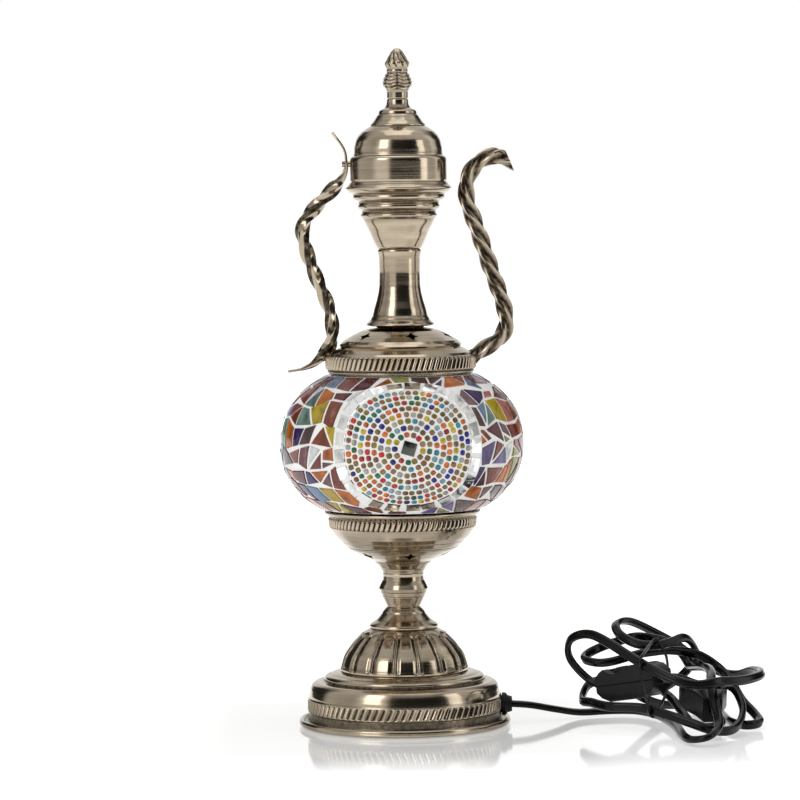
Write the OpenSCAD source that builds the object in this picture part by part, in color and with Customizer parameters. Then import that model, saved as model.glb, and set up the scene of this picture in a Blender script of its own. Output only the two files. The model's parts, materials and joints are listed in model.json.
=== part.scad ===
// Table lamp in the shape of a ewer: a spun metal foot and bowl carry a
// mosaic glass globe, and a pierced metal ewer top with a twisted handle and
// spout sits over the globe. A flat twin flex with an in-line switch and a
// plug leaves the foot and lies tied in loose loops beside it.
// Origin: centre of the foot, on the surface it stands on. +Z is up, +X is
// the spout side and the side where the flex leaves.

/* [Globe] */
// Largest radius of the globe over the mosaic
globe_r = 63.5; // [58:0.5:66]
// Height of the globe's widest point above the table
globe_z = 147.5; // [147:0.1:148]
// Half height of the full bulge curve, before the mouths are cut
globe_h = 44; // [43.5:0.1:44.5]
// Thickness of the tesserae and grout on the glass
mosaic_t = 2.0; // [1.5:0.1:2.2]
// Thickness of the blown glass
glass_t = 1.8; // [1.4:0.1:2.2]

/* [Foot] */
// Outer radius of the plinth's rolled lip
foot_r = 55.3; // [55:0.1:58]
// Radius of the rope band on the plinth
band_r = 50.7; // [50.6:0.1:51]
// Height of the flex hole above the table
flex_z = 10; // [9.5:0.5:10.5]

/* [Lamp rod and holder] */
// Outer radius of the hollow lamp rod
rod_r = 4.95; // [4.8:0.05:4.98]
// Radius of the rod's wire way
rod_bore = 4.0; // [3.5:0.1:4.1]
// Radius of the bulb's screw cap
cap_r = 6.0; // [5.9:0.05:6.0]
// Radial running clearance of the screw cap in its sleeve
cap_gap = 0.08; // [0.05:0.01:0.1]
// Radius of the bulb's glass ball
bulb_r = 20; // [17:0.5:22]

/* [Ewer top] */
// Gap between the lift-off top and the globe's rim
lift_gap = 0.3; // [0.3:0.05:0.6]
// Radius of the tie rod inside the ewer
tie_r = 3.0; // [2.5:0.1:3.1]
// Corner radius of the handle's twisted bar
handle_r = 4.1; // [3:0.1:4.5]
// Corner radius of the spout's twisted bar
spout_r = 4.5; // [3.5:0.1:4.8]
// Twist of the spout bar, degrees per millimetre of bar
bar_twist = 7.2; // [4:0.1:9]

/* [Switch, plug and flex] */
// Width of the flat twin flex
flex_w = 5; // [4.6:0.1:5]
// Length of the in-line switch
sw_l = 36; // [36:1:37]
// Width of the in-line switch
sw_w = 18; // [16:1:18]
// Radius of the switch's thumb wheel
wheel_r = 6.5; // [6:0.1:6.8]
// Width of the plug at its blades
plug_w = 24; // [22:1:25]

/* [Hidden] */
$fn = 96;

brass = [0.55, 0.50, 0.40];
dark = [0.08, 0.08, 0.08];

// Route of the flex from the foot to the switch, and from the switch to the plug.
cord_a = [[56, 0, 10], [66, 1, 9], [79, 6, 6], [92, 15, 3], [108, 21, 2.7],
  [122, 19, 2.7], [131, 4, 2.7], [136, -16, 2.7], [139, -44, 2.7], [140, -74, 2.7],
  [143, -90, 3], [151, -95, 5], [157, -84, 9], [157, -67, 16], [156, -53, 25],
  [157, -40, 29], [157, -24, 30], [155, -8, 29], [153, 8, 27], [151, 21, 26],
  [147, 29, 32], [139, 27, 38], [131, 20, 41], [122, 19, 42], [113, 25, 39],
  [105, 28, 36], [97, 22, 33], [95, 13, 31], [102, 7, 30], [110, 6, 31], [122, 8, 34],
  [131, 11, 35], [141, 16, 35], [155, 21, 32], [166, 19, 25], [172, 9, 18], [176, -7, 11],
  [181, -22, 6], [182, -36, 3.5], [174, -41, 3], [168, -27, 3], [166, 5, 3], [162, 22, 3],
  [150, 30, 4], [136, 19, 6], [124, 6, 12], [115, 1, 19], [106, 0, 22], [96, -4, 20],
  [92, -17, 14], [96, -29, 14], [104, -45, 14], [120, -52, 14], [131, -60, 12],
  [142, -67, 9], [155, -72, 5], [165, -65, 4], [171, -51, 7], [173, -36, 13],
  [168, -25, 21], [152, -34, 23], [139, -42, 28], [129, -34, 26]];
cord_b = [[107, -18, 22], [101, -13, 21], [94, -9, 25], [87, -9, 33], [85, -12, 40],
  [87, -17, 46], [94, -25, 49], [102, -33, 47], [120, -50, 37], [135, -61, 30],
  [147, -64, 27], [160, -60, 28], [173, -48, 27], [182, -32, 27], [185, -15, 27],
  [182, 6, 25], [176, 22, 21], [168, 34, 21], [157, 41, 26], [147, 41, 34],
  [134, 36, 42], [120, 30, 49], [112, 19, 49], [113, 6, 45], [121, -2, 41], [131, -3, 40],
  [140, 4, 41], [147, 13, 42], [152, 22, 38], [155, 30, 30], [149, 33, 21], [139, 24, 15],
  [131, 8, 15], [131, -10, 19], [137, -28, 16], [142, -40, 10], [146, -53, 6],
  [154, -59, 5], [161, -50, 6], [158, -34, 10]];
// The two ends of cord_a and cord_b, and the plug, are placed with these.
sw_c = [118, -26, 24];
sw_turn = -37;
sw_tilt = 10;
plug_p = [158, -36, 10];
plug_turn = 97;
plug_tilt = 12;
// Twist tie round the loops in front of the switch
tie_route = [[133, -3, 43.5], [129, -12, 43], [121, -51, 40.5], [120, -54, 37],
  [121, -51, 27], [123, -58, 17], [124, -58, 12], [126, -54, 10], [128, -46, 11], [133, -38, 17],
  [136, -22, 26], [136, -8, 36], [131, -1, 43.2]];

// Centre lines of the handle and of the spout, as [x, z] in the lamp's own plane.
handle_line = [[-34.2, 309], [-31.5, 305.6], [-29, 302], [-27.5, 298.5], [-27, 294.5],
  [-27.1, 290.5], [-28.4, 286.8], [-31.2, 282.8], [-34.6, 279.2], [-38.4, 275.4],
  [-42.4, 271.4], [-46.2, 267.2], [-49.1, 262.8], [-50.3, 258.4], [-49.8, 254.2],
  [-48.8, 250], [-47.6, 245.8], [-46.2, 241.6], [-44.7, 237.4], [-43, 233.2],
  [-41.3, 229], [-39.5, 224.8], [-37.8, 220.6], [-36.5, 216.4], [-35.7, 212.2],
  [-35.4, 208], [-35.5, 203.8], [-36.3, 199.6], [-38.6, 195.6], [-41.8, 192.2],
  [-45.6, 189], [-50.4, 186.8], [-54.6, 185.9], [-58.5, 185.3]];
spout_line = [[59.3, 293.1], [54.7, 295.1], [50.7, 296], [46.5, 295.3], [42.5, 293.3],
  [39, 290], [36.4, 285.6], [35.2, 281], [35.1, 276.5], [36, 271], [38, 265.5],
  [40.3, 259], [42.7, 252], [45.2, 244.5], [47.9, 236], [50.8, 228], [53.3, 220.5],
  [54.9, 213.5], [54.9, 207.5], [52.7, 202.4], [48.7, 199], [44.4, 196.6], [40.8, 194.5]];

// ---- helpers ----
function unit(v) = v / norm(v);
function tangents(P) = [for (i = [0 : len(P) - 1])
  unit(i == 0 ? P[1] - P[0] : i == len(P) - 1 ? P[i] - P[i - 1]
       : unit(P[i + 1] - P[i]) + unit(P[i] - P[i - 1]))];
function carried(T, n0) = [for (i = 0, n = unit(n0 - (n0 * T[0]) * T[0]); i < len(T);
  i = i + 1, n = i < len(T) ? unit(n - (n * T[i]) * T[i]) : n) n];
function arc_at(P, i) = i == 0 ? 0 : arc_at(P, i - 1) + norm(P[i] - P[i - 1]);
function xz(L) = [for (p = L) [p[0], 0, p[1]]];
// Sweeps one closed section per route point; S[i] is a list of [u, v].
module sweep(P, S, n0) {
  T = tangents(P);
  N = carried(T, n0);
  m = len(S[0]);
  k = len(P);
  pts = [for (i = [0 : k - 1]) let (b = cross(T[i], N[i]))
    for (q = S[i]) P[i] + q[0] * N[i] + q[1] * b];
  faces = concat(
    [[for (j = [0 : m - 1]) j]],
    [[for (j = [m - 1 : -1 : 0]) (k - 1) * m + j]],
    [for (i = [0 : k - 2]) for (j = [0 : m - 1])
      [i * m + j, (i + 1) * m + j, (i + 1) * m + (j + 1) % m]],
    [for (i = [0 : k - 2]) for (j = [0 : m - 1])
      [i * m + j, (i + 1) * m + (j + 1) % m, i * m + (j + 1) % m]]);
  polyhedron(points = pts, faces = faces);
}
function ring_of(r, n) = [for (j = [0 : n - 1]) r * [cos(360 * j / n), sin(360 * j / n)]];
function turned(p, a) = [p[0] * cos(a) - p[1] * sin(a), p[0] * sin(a) + p[1] * cos(a)];
// Eight-point bar section: f 0 is a flat strip, f 1 a square bar with hollow sides.
function bar_section(f, a, r, w, t) = let (c = r, h = r * 0.72,
  star = [for (j = [0 : 7]) (j % 2 == 1 ? c : h) * [cos(45 * j), sin(45 * j)]],
  flat = [[t / 2 + 0.15, 0], [t / 2, w / 2], [0, w / 2 + 0.2], [-t / 2, w / 2],
          [-t / 2 - 0.15, 0], [-t / 2, -w / 2], [0, -w / 2 - 0.2], [t / 2, -w / 2]])
  [for (j = [0 : 7]) (1 - f) * flat[j] + f * turned(star[j], a)];
function ramp(x, a, b) = max(0, min(1, (x - a) / (b - a)));
// Bulge of the globe: radius over the mosaic at height z
function bulge(z) = globe_r * sqrt(1 - pow(abs(z - globe_z) / globe_h, 2.3));
function slope(z) = (bulge(z + 0.05) - bulge(z - 0.05)) / 0.1;
function inset(z, d) = let (n = unit([1, -slope(z)])) [bulge(z) - d * n[0], z - d * n[1]];
globe_steps = [113.4, 115, 117, 119.5, 122.5, 126, 130, 135, 140.5, 146, 149, 154.5,
  160, 165, 169, 172.5, 175.5, 178, 180, 181.6];
module hex(af, h) { cylinder(r = af / sqrt(3), h = h, $fn = 6); }
module spun(pts) { rotate_extrude() polygon(pts); }
// Four-pointed piercing, cut square to a sloping wall
module star_cut(az, r, z, tip) {
  rotate([0, 0, az - 90]) translate([r, 0, z]) rotate([0, tip, 0])
    translate([0, 0, -4]) linear_extrude(8)
      polygon([[4.2, 0], [1.3, 1.3], [0, 3.6], [-1.3, 1.3], [-4.2, 0],
               [-1.3, -1.3], [0, -3.6], [1.3, -1.3]]);
}

// ---- foot ----
module base_plinth() color(brass) difference() {
  spun([[5.3, 28.5], [34.5, 28.5], [37, 28], [38.8, 27], [40.3, 26.8], [41.4, 26],
    [41.9, 24.9], [41.6, 23.9], [42.4, 23.5], [46.3, 23.2], [48.4, 21.9], [49.3, 19.8],
    [50.2, 16.2], [band_r, 14.4], [band_r, 8], [50.4, 3.4], [51.2, 2.6], [52.4, 2.6],
    [53, 3.4], [54.1, 4.1], [foot_r - 0.2, 3.3], [foot_r, 2], [foot_r - 0.5, 0.7],
    [53.6, 0.2], [52.2, 0.6], [51.2, 1.6], [49.9, 1.8], [49.4, 3], [49.6, 8],
    [49.6, 14.3], [49.1, 16], [48.3, 19.4], [47.5, 21.2], [45.9, 22.2], [42, 22.5],
    [40.7, 23.2], [40.8, 24.8], [40.4, 25.4], [39.8, 25.7], [38.6, 25.9], [36.6, 27],
    [34.4, 27.5], [5.3, 27.5]]);
  translate([40, 0, flex_z]) rotate([0, 90, 0]) cylinder(r = 4.6, h = 20);
}
module base_cover() color([0.2, 0.2, 0.2]) translate([0, 0, 1.8]) cylinder(r = 48.9, h = 1);
module foot_pad() color([0.12, 0.12, 0.12]) cylinder(r = 47.5, h = 1.8);
module cord_grommet() color(dark) translate([0, 0, flex_z]) rotate([0, 90, 0])
  spun([[2.75, 47.2], [5.5, 47.2], [5.5, 49.2], [4.5, 49.2], [4.5, 50.8], [6, 50.8],
    [6, 52.4], [5.4, 53.2], [4.6, 53.6], [3.9, 56], [2.75, 56]]);
module inner_lead() color([0.15, 0.15, 0.15])
  sweep([[56, 0, flex_z], [24, 0, flex_z], [9, 0, 12.6], [3.2, 0, 15], [0.8, 0, 19.6],
    [0, 0, 25], [0, 0, 60], [0, 0, 93.5]], [for (i = [0 : 7]) ring_of(2.6, 8)], [0, 1, 0]);
module rod_washer_low() color([0.7, 0.7, 0.68]) difference() {
  translate([0, 0, 26.4]) cylinder(r = 11, h = 1.1);
  translate([0, 0, 20]) cylinder(r = 5.2, h = 12);
}
module rod_nut_low() color([0.75, 0.65, 0.35]) difference() {
  translate([0, 0, 22.9]) hex(14, 3.5);
  translate([0, 0, 20]) cylinder(r = 5, h = 12);
}
module fluted_dome() color(brass)
  spun([[5.3, 50.8], [17.5, 50.8], [20.8, 48.7], [23.7, 46.6], [25.8, 44.5], [27.6, 42.5],
    [29.1, 40.4], [30.7, 38.3], [31.8, 36.2], [32.5, 34], [33.2, 32], [33.4, 28.5],
    [32.4, 28.5], [32.2, 31.8], [31.5, 33.8], [30.8, 35.9], [29.7, 38], [28.1, 40.1],
    [26.6, 42.1], [24.8, 44.1], [22.8, 46], [20, 47.9], [17.2, 49.8], [5.3, 49.8]]);
module dome_collar() color(brass)
  spun([[5.3, 50.8], [17.6, 50.8], [18, 51.6], [17.8, 52.7], [16.6, 53.6], [14.3, 55],
    [12.5, 57], [11.2, 58.6], [10.9, 59.6], [9.6, 61], [8.6, 62], [5.3, 62]]);
module threaded_rod() color([0.75, 0.73, 0.68]) difference() {
  translate([0, 0, 21]) cylinder(r = rod_r, h = 76);
  translate([0, 0, 20]) cylinder(r = rod_bore, h = 80);
}

// ---- bowl ----
module lower_bowl() color(brass) difference() {
  spun([[5.3, 62], [8.6, 62], [10.2, 65.4], [11.2, 67.5], [12, 69.5], [12.9, 71.6],
    [12, 73.7], [10.9, 75.8], [10.6, 78], [10.7, 80], [11.7, 82], [13.3, 84],
    [15.6, 86.2], [20.6, 88.4], [24.5, 90.4], [27.6, 92.2], [30.4, 94.5], [32.5, 96.6],
    [34.6, 98.7], [36.2, 100.8], [37.6, 102.9], [38.2, 104], [37.2, 104], [36.5, 103.2],
    [35.2, 101.4], [33.7, 99.5], [31.7, 97.4], [29.7, 95.4], [26.9, 93.3], [23.9, 91.4],
    [20, 89.4], [15, 87.2], [12.6, 85.2], [11.6, 84.4], [5.3, 84.4]]);
  for (i = [0 : 5]) star_cut(9 + 60 * i, 23.2, 89.8, 180 - 28);
}
module lower_gallery() color(brass)
  spun([[37.2, 104], [38.4, 104], [38.7, 105], [38.7, 108.6], [38, 109.3], [38.6, 110],
    [40, 110.8], [40.8, 111.7], [40.8, 112.3], [40.2, 112.7], [39.1, 112.3], [38.8, 111],
    [34.5, 111], [34.5, 109.8], [36.6, 109.4], [37.2, 108.6]]);
module rod_washer_high() color([0.7, 0.7, 0.68]) difference() {
  translate([0, 0, 84.4]) cylinder(r = 9.5, h = 1.1);
  translate([0, 0, 80]) cylinder(r = 5.2, h = 12);
}
module rod_nut_high() color([0.75, 0.65, 0.35]) difference() {
  translate([0, 0, 85.5]) hex(14, 3.5);
  translate([0, 0, 80]) cylinder(r = 5, h = 12);
}

// ---- lamp holder and bulb ----
module holder_cap() color([0.1, 0.1, 0.1])
  spun([[5, 89.6], [9, 89.6], [12.4, 92.6], [13.6, 95], [13.6, 104], [12.4, 104],
    [12.4, 97.2], [5, 97.2]]);
module holder_body() color([0.1, 0.1, 0.1])
  spun([[12.4, 104], [13.6, 104], [13.6, 125.2], [12.8, 126], [8.6, 126], [8.6, 124.8],
    [12.2, 124.8], [12.4, 124.4]]);
module holder_insert() color([0.85, 0.82, 0.75]) difference() {
  translate([0, 0, 97.2]) cylinder(r = 12.2, h = 8.8);
  for (s = [-1, 1]) translate([6.5 * s, 0, 96]) cylinder(r = 1.4, h = 4);
}
module screw_sleeve() color([0.8, 0.68, 0.35])
  spun([[cap_r + cap_gap, 106], [8, 106], [8, 107], [cap_r + 0.7, 107.6],
    [cap_r + 0.7, 123.6], [cap_r + cap_gap, 123.6]]);
module centre_contact() color([0.8, 0.68, 0.35]) translate([0, 0, 106]) cylinder(r = 2.6, h = 1);
module bulb_cap() color([0.8, 0.8, 0.78])
  spun([[0, 107.4], [2.2, 107.4], [2.4, 108.2], [4.6, 109.2], [cap_r, 110.4],
    [cap_r, 124.6], [cap_r + 0.6, 125.4], [cap_r + 0.6, 127], [5.6, 127], [5.6, 126.2],
    [5.2, 125.4], [5.2, 112], [0, 111]]);
module bulb_glass() color([0.95, 0.95, 0.92, 0.4]) let (c = 127 + bulb_r * 1.22)
  spun(concat([[0, c + bulb_r]], [for (a = [80 : -10 : -60]) [bulb_r * cos(a), c + bulb_r * sin(a)]],
    [[6.2, 129], [6.2, 127], [5.4, 127], [5.4, 129.3]],
    [for (a = [-60 : 10 : 80]) [(bulb_r - 0.9) * cos(a), c + (bulb_r - 0.9) * sin(a)]],
    [[0, c + bulb_r - 0.9]]));

// ---- globe ----
module globe_glass() color([0.85, 0.9, 0.9, 0.4]) let (d0 = mosaic_t + 0.02, d1 = mosaic_t + glass_t)
  spun(concat([[35.5, 111], [37.3, 111], [38.2, 111.9]],
    [for (z = globe_steps) inset(z, d0)],
    [[38.2, 183.1], [37.3, 184], [35.5, 184]],
    [for (i = [len(globe_steps) - 1 : -1 : 0]) inset(globe_steps[i], d1)]));
module mosaic_skin() color([0.75, 0.5, 0.35])
  spun(concat([for (z = globe_steps) [bulge(z), z]],
    [for (i = [len(globe_steps) - 1 : -1 : 0]) inset(globe_steps[i], mosaic_t)]));

// ---- ewer top, lifts off ----
module upper_gallery() color(brass) let (z0 = 184 + lift_gap)
  spun([[35, z0], [38, z0], [38.3, 185.2], [37.8, 186], [39, 186.6], [39.3, 187.6],
    [39.3, 192], [38.8, 193], [37.4, 193.5], [36, 193.5], [37.4, 191.8], [37.4, 187.8],
    [36.6, 186.4], [35, 186]]);
module locating_sleeve() color([0.6, 0.58, 0.52])
  spun([[33.8, 178], [34.6, 178], [34.9, 179], [34.9, 186], [35.4, 186.1], [35.4, 186.9],
    [33.8, 186.9]]);
module upper_dome() color(brass) difference() {
  spun([[tie_r + 0.3, 206.8], [12.3, 206.8], [16.7, 206.1], [20.1, 205], [23.4, 203.4],
    [26, 202], [29, 200.1], [30.3, 199], [30.3, 198.5], [29.9, 197.5], [30.3, 197],
    [32.6, 195.7], [35.4, 194], [35.9, 193.5], [37.4, 193.5], [36.2, 194.7], [33.4, 196.4],
    [31.2, 197.6], [32, 198.5], [31.2, 199.5], [29.7, 200.9], [26.6, 202.8], [23.9, 204.3],
    [20.5, 205.9], [17, 207], [12.5, 207.6], [tie_r + 0.3, 207.6]]);
  for (i = [0 : 5]) star_cut(13.7 + 60 * i, 25, 203.6, 30);
}
module neck_sleeve() color(brass)
  spun([[9.6, 207.6], [12.2, 207.6], [12.5, 208.2], [17, 208.5], [17.9, 209.1],
    [17.3, 209.9], [15.4, 211.6], [14.9, 213], [14.3, 213.7], [13.5, 217.4], [12.2, 221.5],
    [11.2, 225.7], [10.7, 229], [10.5, 236], [10.6, 244], [11.2, 246.6], [11.2, 247.8],
    [10.6, 248.4], [9.7, 248.4], [9.6, 236], [9.8, 229], [10.3, 225.6], [11.3, 221.3],
    [12.6, 217.2], [13.4, 213.3], [13.6, 211.2], [11.6, 209.2], [9.6, 208.8]]);
module ewer_cup() color(brass)
  spun([[9.7, 248.4], [10.6, 248.4], [11.5, 248.9], [13.5, 253], [15.1, 257], [17.2, 261],
    [18.4, 264], [19.8, 265.2], [19.9, 266.3], [18.9, 267.5], [19.2, 268.4], [21.1, 269.5],
    [21.3, 270.8], [20.6, 272.2], [20.8, 273], [23.3, 274], [24, 275.2], [23.5, 276.4],
    [23.9, 277.1], [25.8, 277.9], [27.5, 279.6], [27.5, 280.3], [25.9, 281.6], [25.1, 283.2],
    [24.1, 283.2], [24.2, 282], [25.4, 280], [24.7, 278.9], [22.7, 278], [22.2, 277],
    [22.6, 275.5], [19.7, 274.2], [19.4, 272.4], [19.9, 270.9], [19.6, 270.4], [17.8, 269.3],
    [17.5, 267.5], [18.3, 266.2], [17.1, 264.9], [16.1, 261.6], [14, 257.5], [12.5, 253.6],
    [10.8, 250], [9.7, 249.4]]);
module ewer_band() color(brass)
  spun([[24.1, 283.2], [25.1, 283.2], [25.1, 294.8], [24.6, 296], [23.6, 296.6], [19, 296.6],
    [19, 295.7], [23.2, 295.7], [24.1, 294.6]]);
module lid_dome() color(brass)
  spun([[22.2, 296.6], [23.2, 296.6], [23.2, 297.4], [22.9, 298], [22.9, 300.6], [22.4, 302.7],
    [21.9, 304.8], [20.8, 306.9], [19, 309], [16, 311], [14.3, 312], [tie_r + 0.3, 312],
    [tie_r + 0.3, 311.1], [14, 311.1], [15.6, 310.1], [18.3, 308.2], [20, 306.2], [21, 304.3],
    [21.5, 302.4], [21.9, 300.4], [21.9, 298]]);
module lid_collar() color(brass)
  spun([[tie_r + 0.3, 312], [14.3, 312], [14.3, 312.7], [12.6, 314.6], [11.2, 316.6],
    [10.6, 317.6], [9.8, 318.2], [9.8, 319.6], [9, 320.4], [6.6, 321.4], [5.6, 323.4],
    [5.5, 326], [tie_r + 0.3, 326]]);
module finial() color(brass)
  spun([[tie_r + 0.05, 326], [5.4, 326], [5.4, 330], [6.6, 331.6], [7.8, 333.2], [7.9, 334.4],
    [7.5, 336], [6.5, 338.4], [5.5, 340], [5.4, 342], [6.4, 343.6], [6.5, 344.8],
    [5.2, 346.2], [4.7, 347.4], [3.9, 348.7], [2.9, 350.7], [1.4, 352], [0, 352.3],
    [0, 336], [tie_r + 0.05, 336]]);
module tie_rod() color([0.75, 0.73, 0.68]) translate([0, 0, 199.5]) cylinder(r = tie_r, h = 136);
module tie_washer() color([0.7, 0.7, 0.68]) difference() {
  translate([0, 0, 205.8]) cylinder(r = 11, h = 1);
  translate([0, 0, 200]) cylinder(r = tie_r + 0.3, h = 12);
}
module tie_nut() color([0.75, 0.65, 0.35]) difference() {
  translate([0, 0, 201.2]) hex(10, 4.6);
  translate([0, 0, 198]) cylinder(r = tie_r + 0.05, h = 12);
}
module handle() color(brass) let (P = xz(handle_line), n = len(P))
  sweep(P, [for (i = [0 : n - 1]) let (s = arc_at(P, i), f = ramp(s, 18, 32) * (1 - ramp(s, 130, 144)))
    bar_section(f, 720 * ramp(s, 28, 132), handle_r, i == 0 || i == n - 1 ? 3 : 6.6, 1.5)], [1, 0, 0]);
module handle_rivets() color(brass) {
  translate([-29.2, 0, 292.6]) rotate([0, 90, 0]) cylinder(r = 1.5, h = 4.8);
  translate([-41.2, 0, 195]) rotate([0, 90, 0]) cylinder(r = 1.4, h = 5.6);
}
module spout() color(brass) let (P = xz(spout_line), n = len(P))
  sweep(P, [for (i = [0 : n - 1]) let (s = arc_at(P, i), k = 1 + 0.3 * (1 - ramp(s, 0, 12)))
    [for (q = bar_section(1, 45 - bar_twist * s, spout_r, 1, 1)) [q[0] * k, q[1]]]], [0, 0, 1]);
module spout_bracket() color(brass) translate([0, 3, 0]) rotate([90, 0, 0]) linear_extrude(6)
  polygon([[39.1, 187.8], [41, 187.8], [42.4, 190.6], [38, 198], [36.6, 197], [37.6, 194.6],
    [38.9, 193.4]]);

// ---- flex, switch and plug ----
module supply_cord() color(dark)
  sweep(cord_a, [for (p = cord_a) ring_of(flex_w / 2, 8)], [0, 1, 0]);
module plug_cord() color(dark)
  sweep(cord_b, [for (p = cord_b) ring_of(flex_w / 2, 8)], [0, 0, 1]);
module at_switch() { translate(sw_c) rotate([0, 0, sw_turn]) rotate([0, -sw_tilt, 0]) children(); }
// Side outline of the switch as [length, height]; the cover has a scoop for the wheel.
module switch_base() color([0.13, 0.13, 0.14]) at_switch() difference() {
  translate([0, sw_w / 2, 0]) rotate([90, 0, 0]) linear_extrude(sw_w)
    polygon([[-sw_l / 2, 0.5], [-sw_l / 2, -3], [-14.5, -6.5], [-10, -8.5], [10, -8.5], [14.5, -6.5],
      [sw_l / 2, -3], [sw_l / 2, 0.5]]);
  translate([-5, 0, -1]) cube([15, 8, 12], center = true);
  translate([8, 0, -12]) cylinder(r = 1.6, h = 20);
  translate([8, 0, -12]) cylinder(r = 3, h = 6);
}
module switch_cover() color([0.16, 0.16, 0.17]) at_switch() difference() {
  translate([0, sw_w / 2, 0]) rotate([90, 0, 0]) linear_extrude(sw_w)
    polygon([[-sw_l / 2, 0.5], [sw_l / 2, 0.5], [sw_l / 2, 4], [14.5, 7.5], [10, 9], [4, 9],
      [0, 7], [-4, 5.8], [-8, 6], [-12, 8.4], [-14.5, 7.2], [-sw_l / 2, 4]]);
  translate([-5, 0, 2]) cube([15, 8, 15], center = true);
  translate([8, 0, -2]) cylinder(r = 1.2, h = 7);
}
module switch_wheel() color([0.05, 0.05, 0.05]) at_switch() difference() {
  translate([-5, 3.6, 2.6]) rotate([90, 0, 0]) cylinder(r = wheel_r, h = 7.2);
  translate([-5, 9, 2.6]) rotate([90, 0, 0]) cylinder(r = 1.55, h = 18);
}
module switch_pin() color([0.7, 0.7, 0.68]) at_switch()
  translate([-5, 4, 2.6]) rotate([90, 0, 0]) cylinder(r = 1.5, h = 8);
module switch_screw() color([0.7, 0.7, 0.68]) at_switch() {
  translate([8, 0, -8]) cylinder(r = 1.15, h = 12);
  translate([8, 0, -8]) cylinder(r = 2.6, h = 1.8);
}
module at_plug() { translate(plug_p) rotate([0, 0, plug_turn]) rotate([0, -plug_tilt, 0]) children(); }
module plug_body() color(dark) at_plug() difference() {
  translate([0, 0, -6.5]) linear_extrude(13)
    polygon([[0, -5], [10, -7], [22, -plug_w / 2], [29, -plug_w / 2], [30, -plug_w / 2 + 1],
      [30, plug_w / 2 - 1], [29, plug_w / 2], [22, plug_w / 2], [10, 7], [0, 5]]);
  for (s = [-1, 1]) translate([22, 6.35 * s - 0.8, -3.3]) cube([9, 1.6, 6.6]);
}
module plug_blades() color([0.8, 0.72, 0.5]) at_plug() for (s = [-1, 1])
  difference() {
    translate([22.2, 6.35 * s - 0.75, -3.2]) cube([24, 1.5, 6.4]);
    translate([42.5, 6.35 * s + 3, 0]) rotate([90, 0, 0]) cylinder(r = 1.5, h = 6);
  }
module hank_tie() color([0.05, 0.05, 0.05])
  sweep(tie_route, [for (p = tie_route) ring_of(0.8, 6)], [1, 0, 0]);

base_plinth();
base_cover();
foot_pad();
cord_grommet();
inner_lead();
rod_washer_low();
rod_nut_low();
fluted_dome();
dome_collar();
threaded_rod();
lower_bowl();
lower_gallery();
rod_washer_high();
rod_nut_high();
holder_cap();
holder_body();
holder_insert();
screw_sleeve();
centre_contact();
bulb_cap();
bulb_glass();
globe_glass();
mosaic_skin();
upper_gallery();
locating_sleeve();
upper_dome();
neck_sleeve();
ewer_cup();
ewer_band();
lid_dome();
lid_collar();
finial();
tie_rod();
tie_washer();
tie_nut();
handle();
handle_rivets();
spout();
spout_bracket();
supply_cord();
plug_cord();
switch_base();
switch_cover();
switch_wheel();
switch_pin();
switch_screw();
plug_body();
plug_blades();
hank_tie();
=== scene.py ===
import math
import json
import random

import bpy
import bmesh
import numpy as np
from mathutils import Matrix, Vector


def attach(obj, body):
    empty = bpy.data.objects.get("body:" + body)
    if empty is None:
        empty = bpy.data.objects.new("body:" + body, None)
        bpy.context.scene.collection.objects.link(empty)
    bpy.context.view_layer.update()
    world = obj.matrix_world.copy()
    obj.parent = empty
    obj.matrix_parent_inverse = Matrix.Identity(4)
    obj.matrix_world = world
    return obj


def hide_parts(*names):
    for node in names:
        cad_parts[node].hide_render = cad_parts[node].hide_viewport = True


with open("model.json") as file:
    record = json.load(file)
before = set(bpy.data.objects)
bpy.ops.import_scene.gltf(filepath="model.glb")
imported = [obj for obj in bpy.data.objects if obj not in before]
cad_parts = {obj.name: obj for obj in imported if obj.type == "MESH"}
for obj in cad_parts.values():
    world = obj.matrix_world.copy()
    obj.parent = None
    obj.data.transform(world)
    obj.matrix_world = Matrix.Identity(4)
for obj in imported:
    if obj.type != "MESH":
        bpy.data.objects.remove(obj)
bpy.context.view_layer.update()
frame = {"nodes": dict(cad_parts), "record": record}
NODES = frame["nodes"]
scene = bpy.context.scene
TAU = 2 * math.pi

# ------------------------------------------------------------------ camera
cam_data = bpy.data.cameras.new("camera")
cam_data.lens = 168.75
cam_data.sensor_width = 36
cam_data.clip_end = 50
cam = bpy.data.objects.new("camera", cam_data)
cam.location = (-0.0006, -1.950, 0.2736)
cam.rotation_euler = (Matrix.Rotation(math.radians(90 - 3.05), 4, "X")
                      @ Matrix.Rotation(math.radians(-0.7), 4, "Z")).to_euler()
scene.collection.objects.link(cam)
scene.camera = cam


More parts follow.
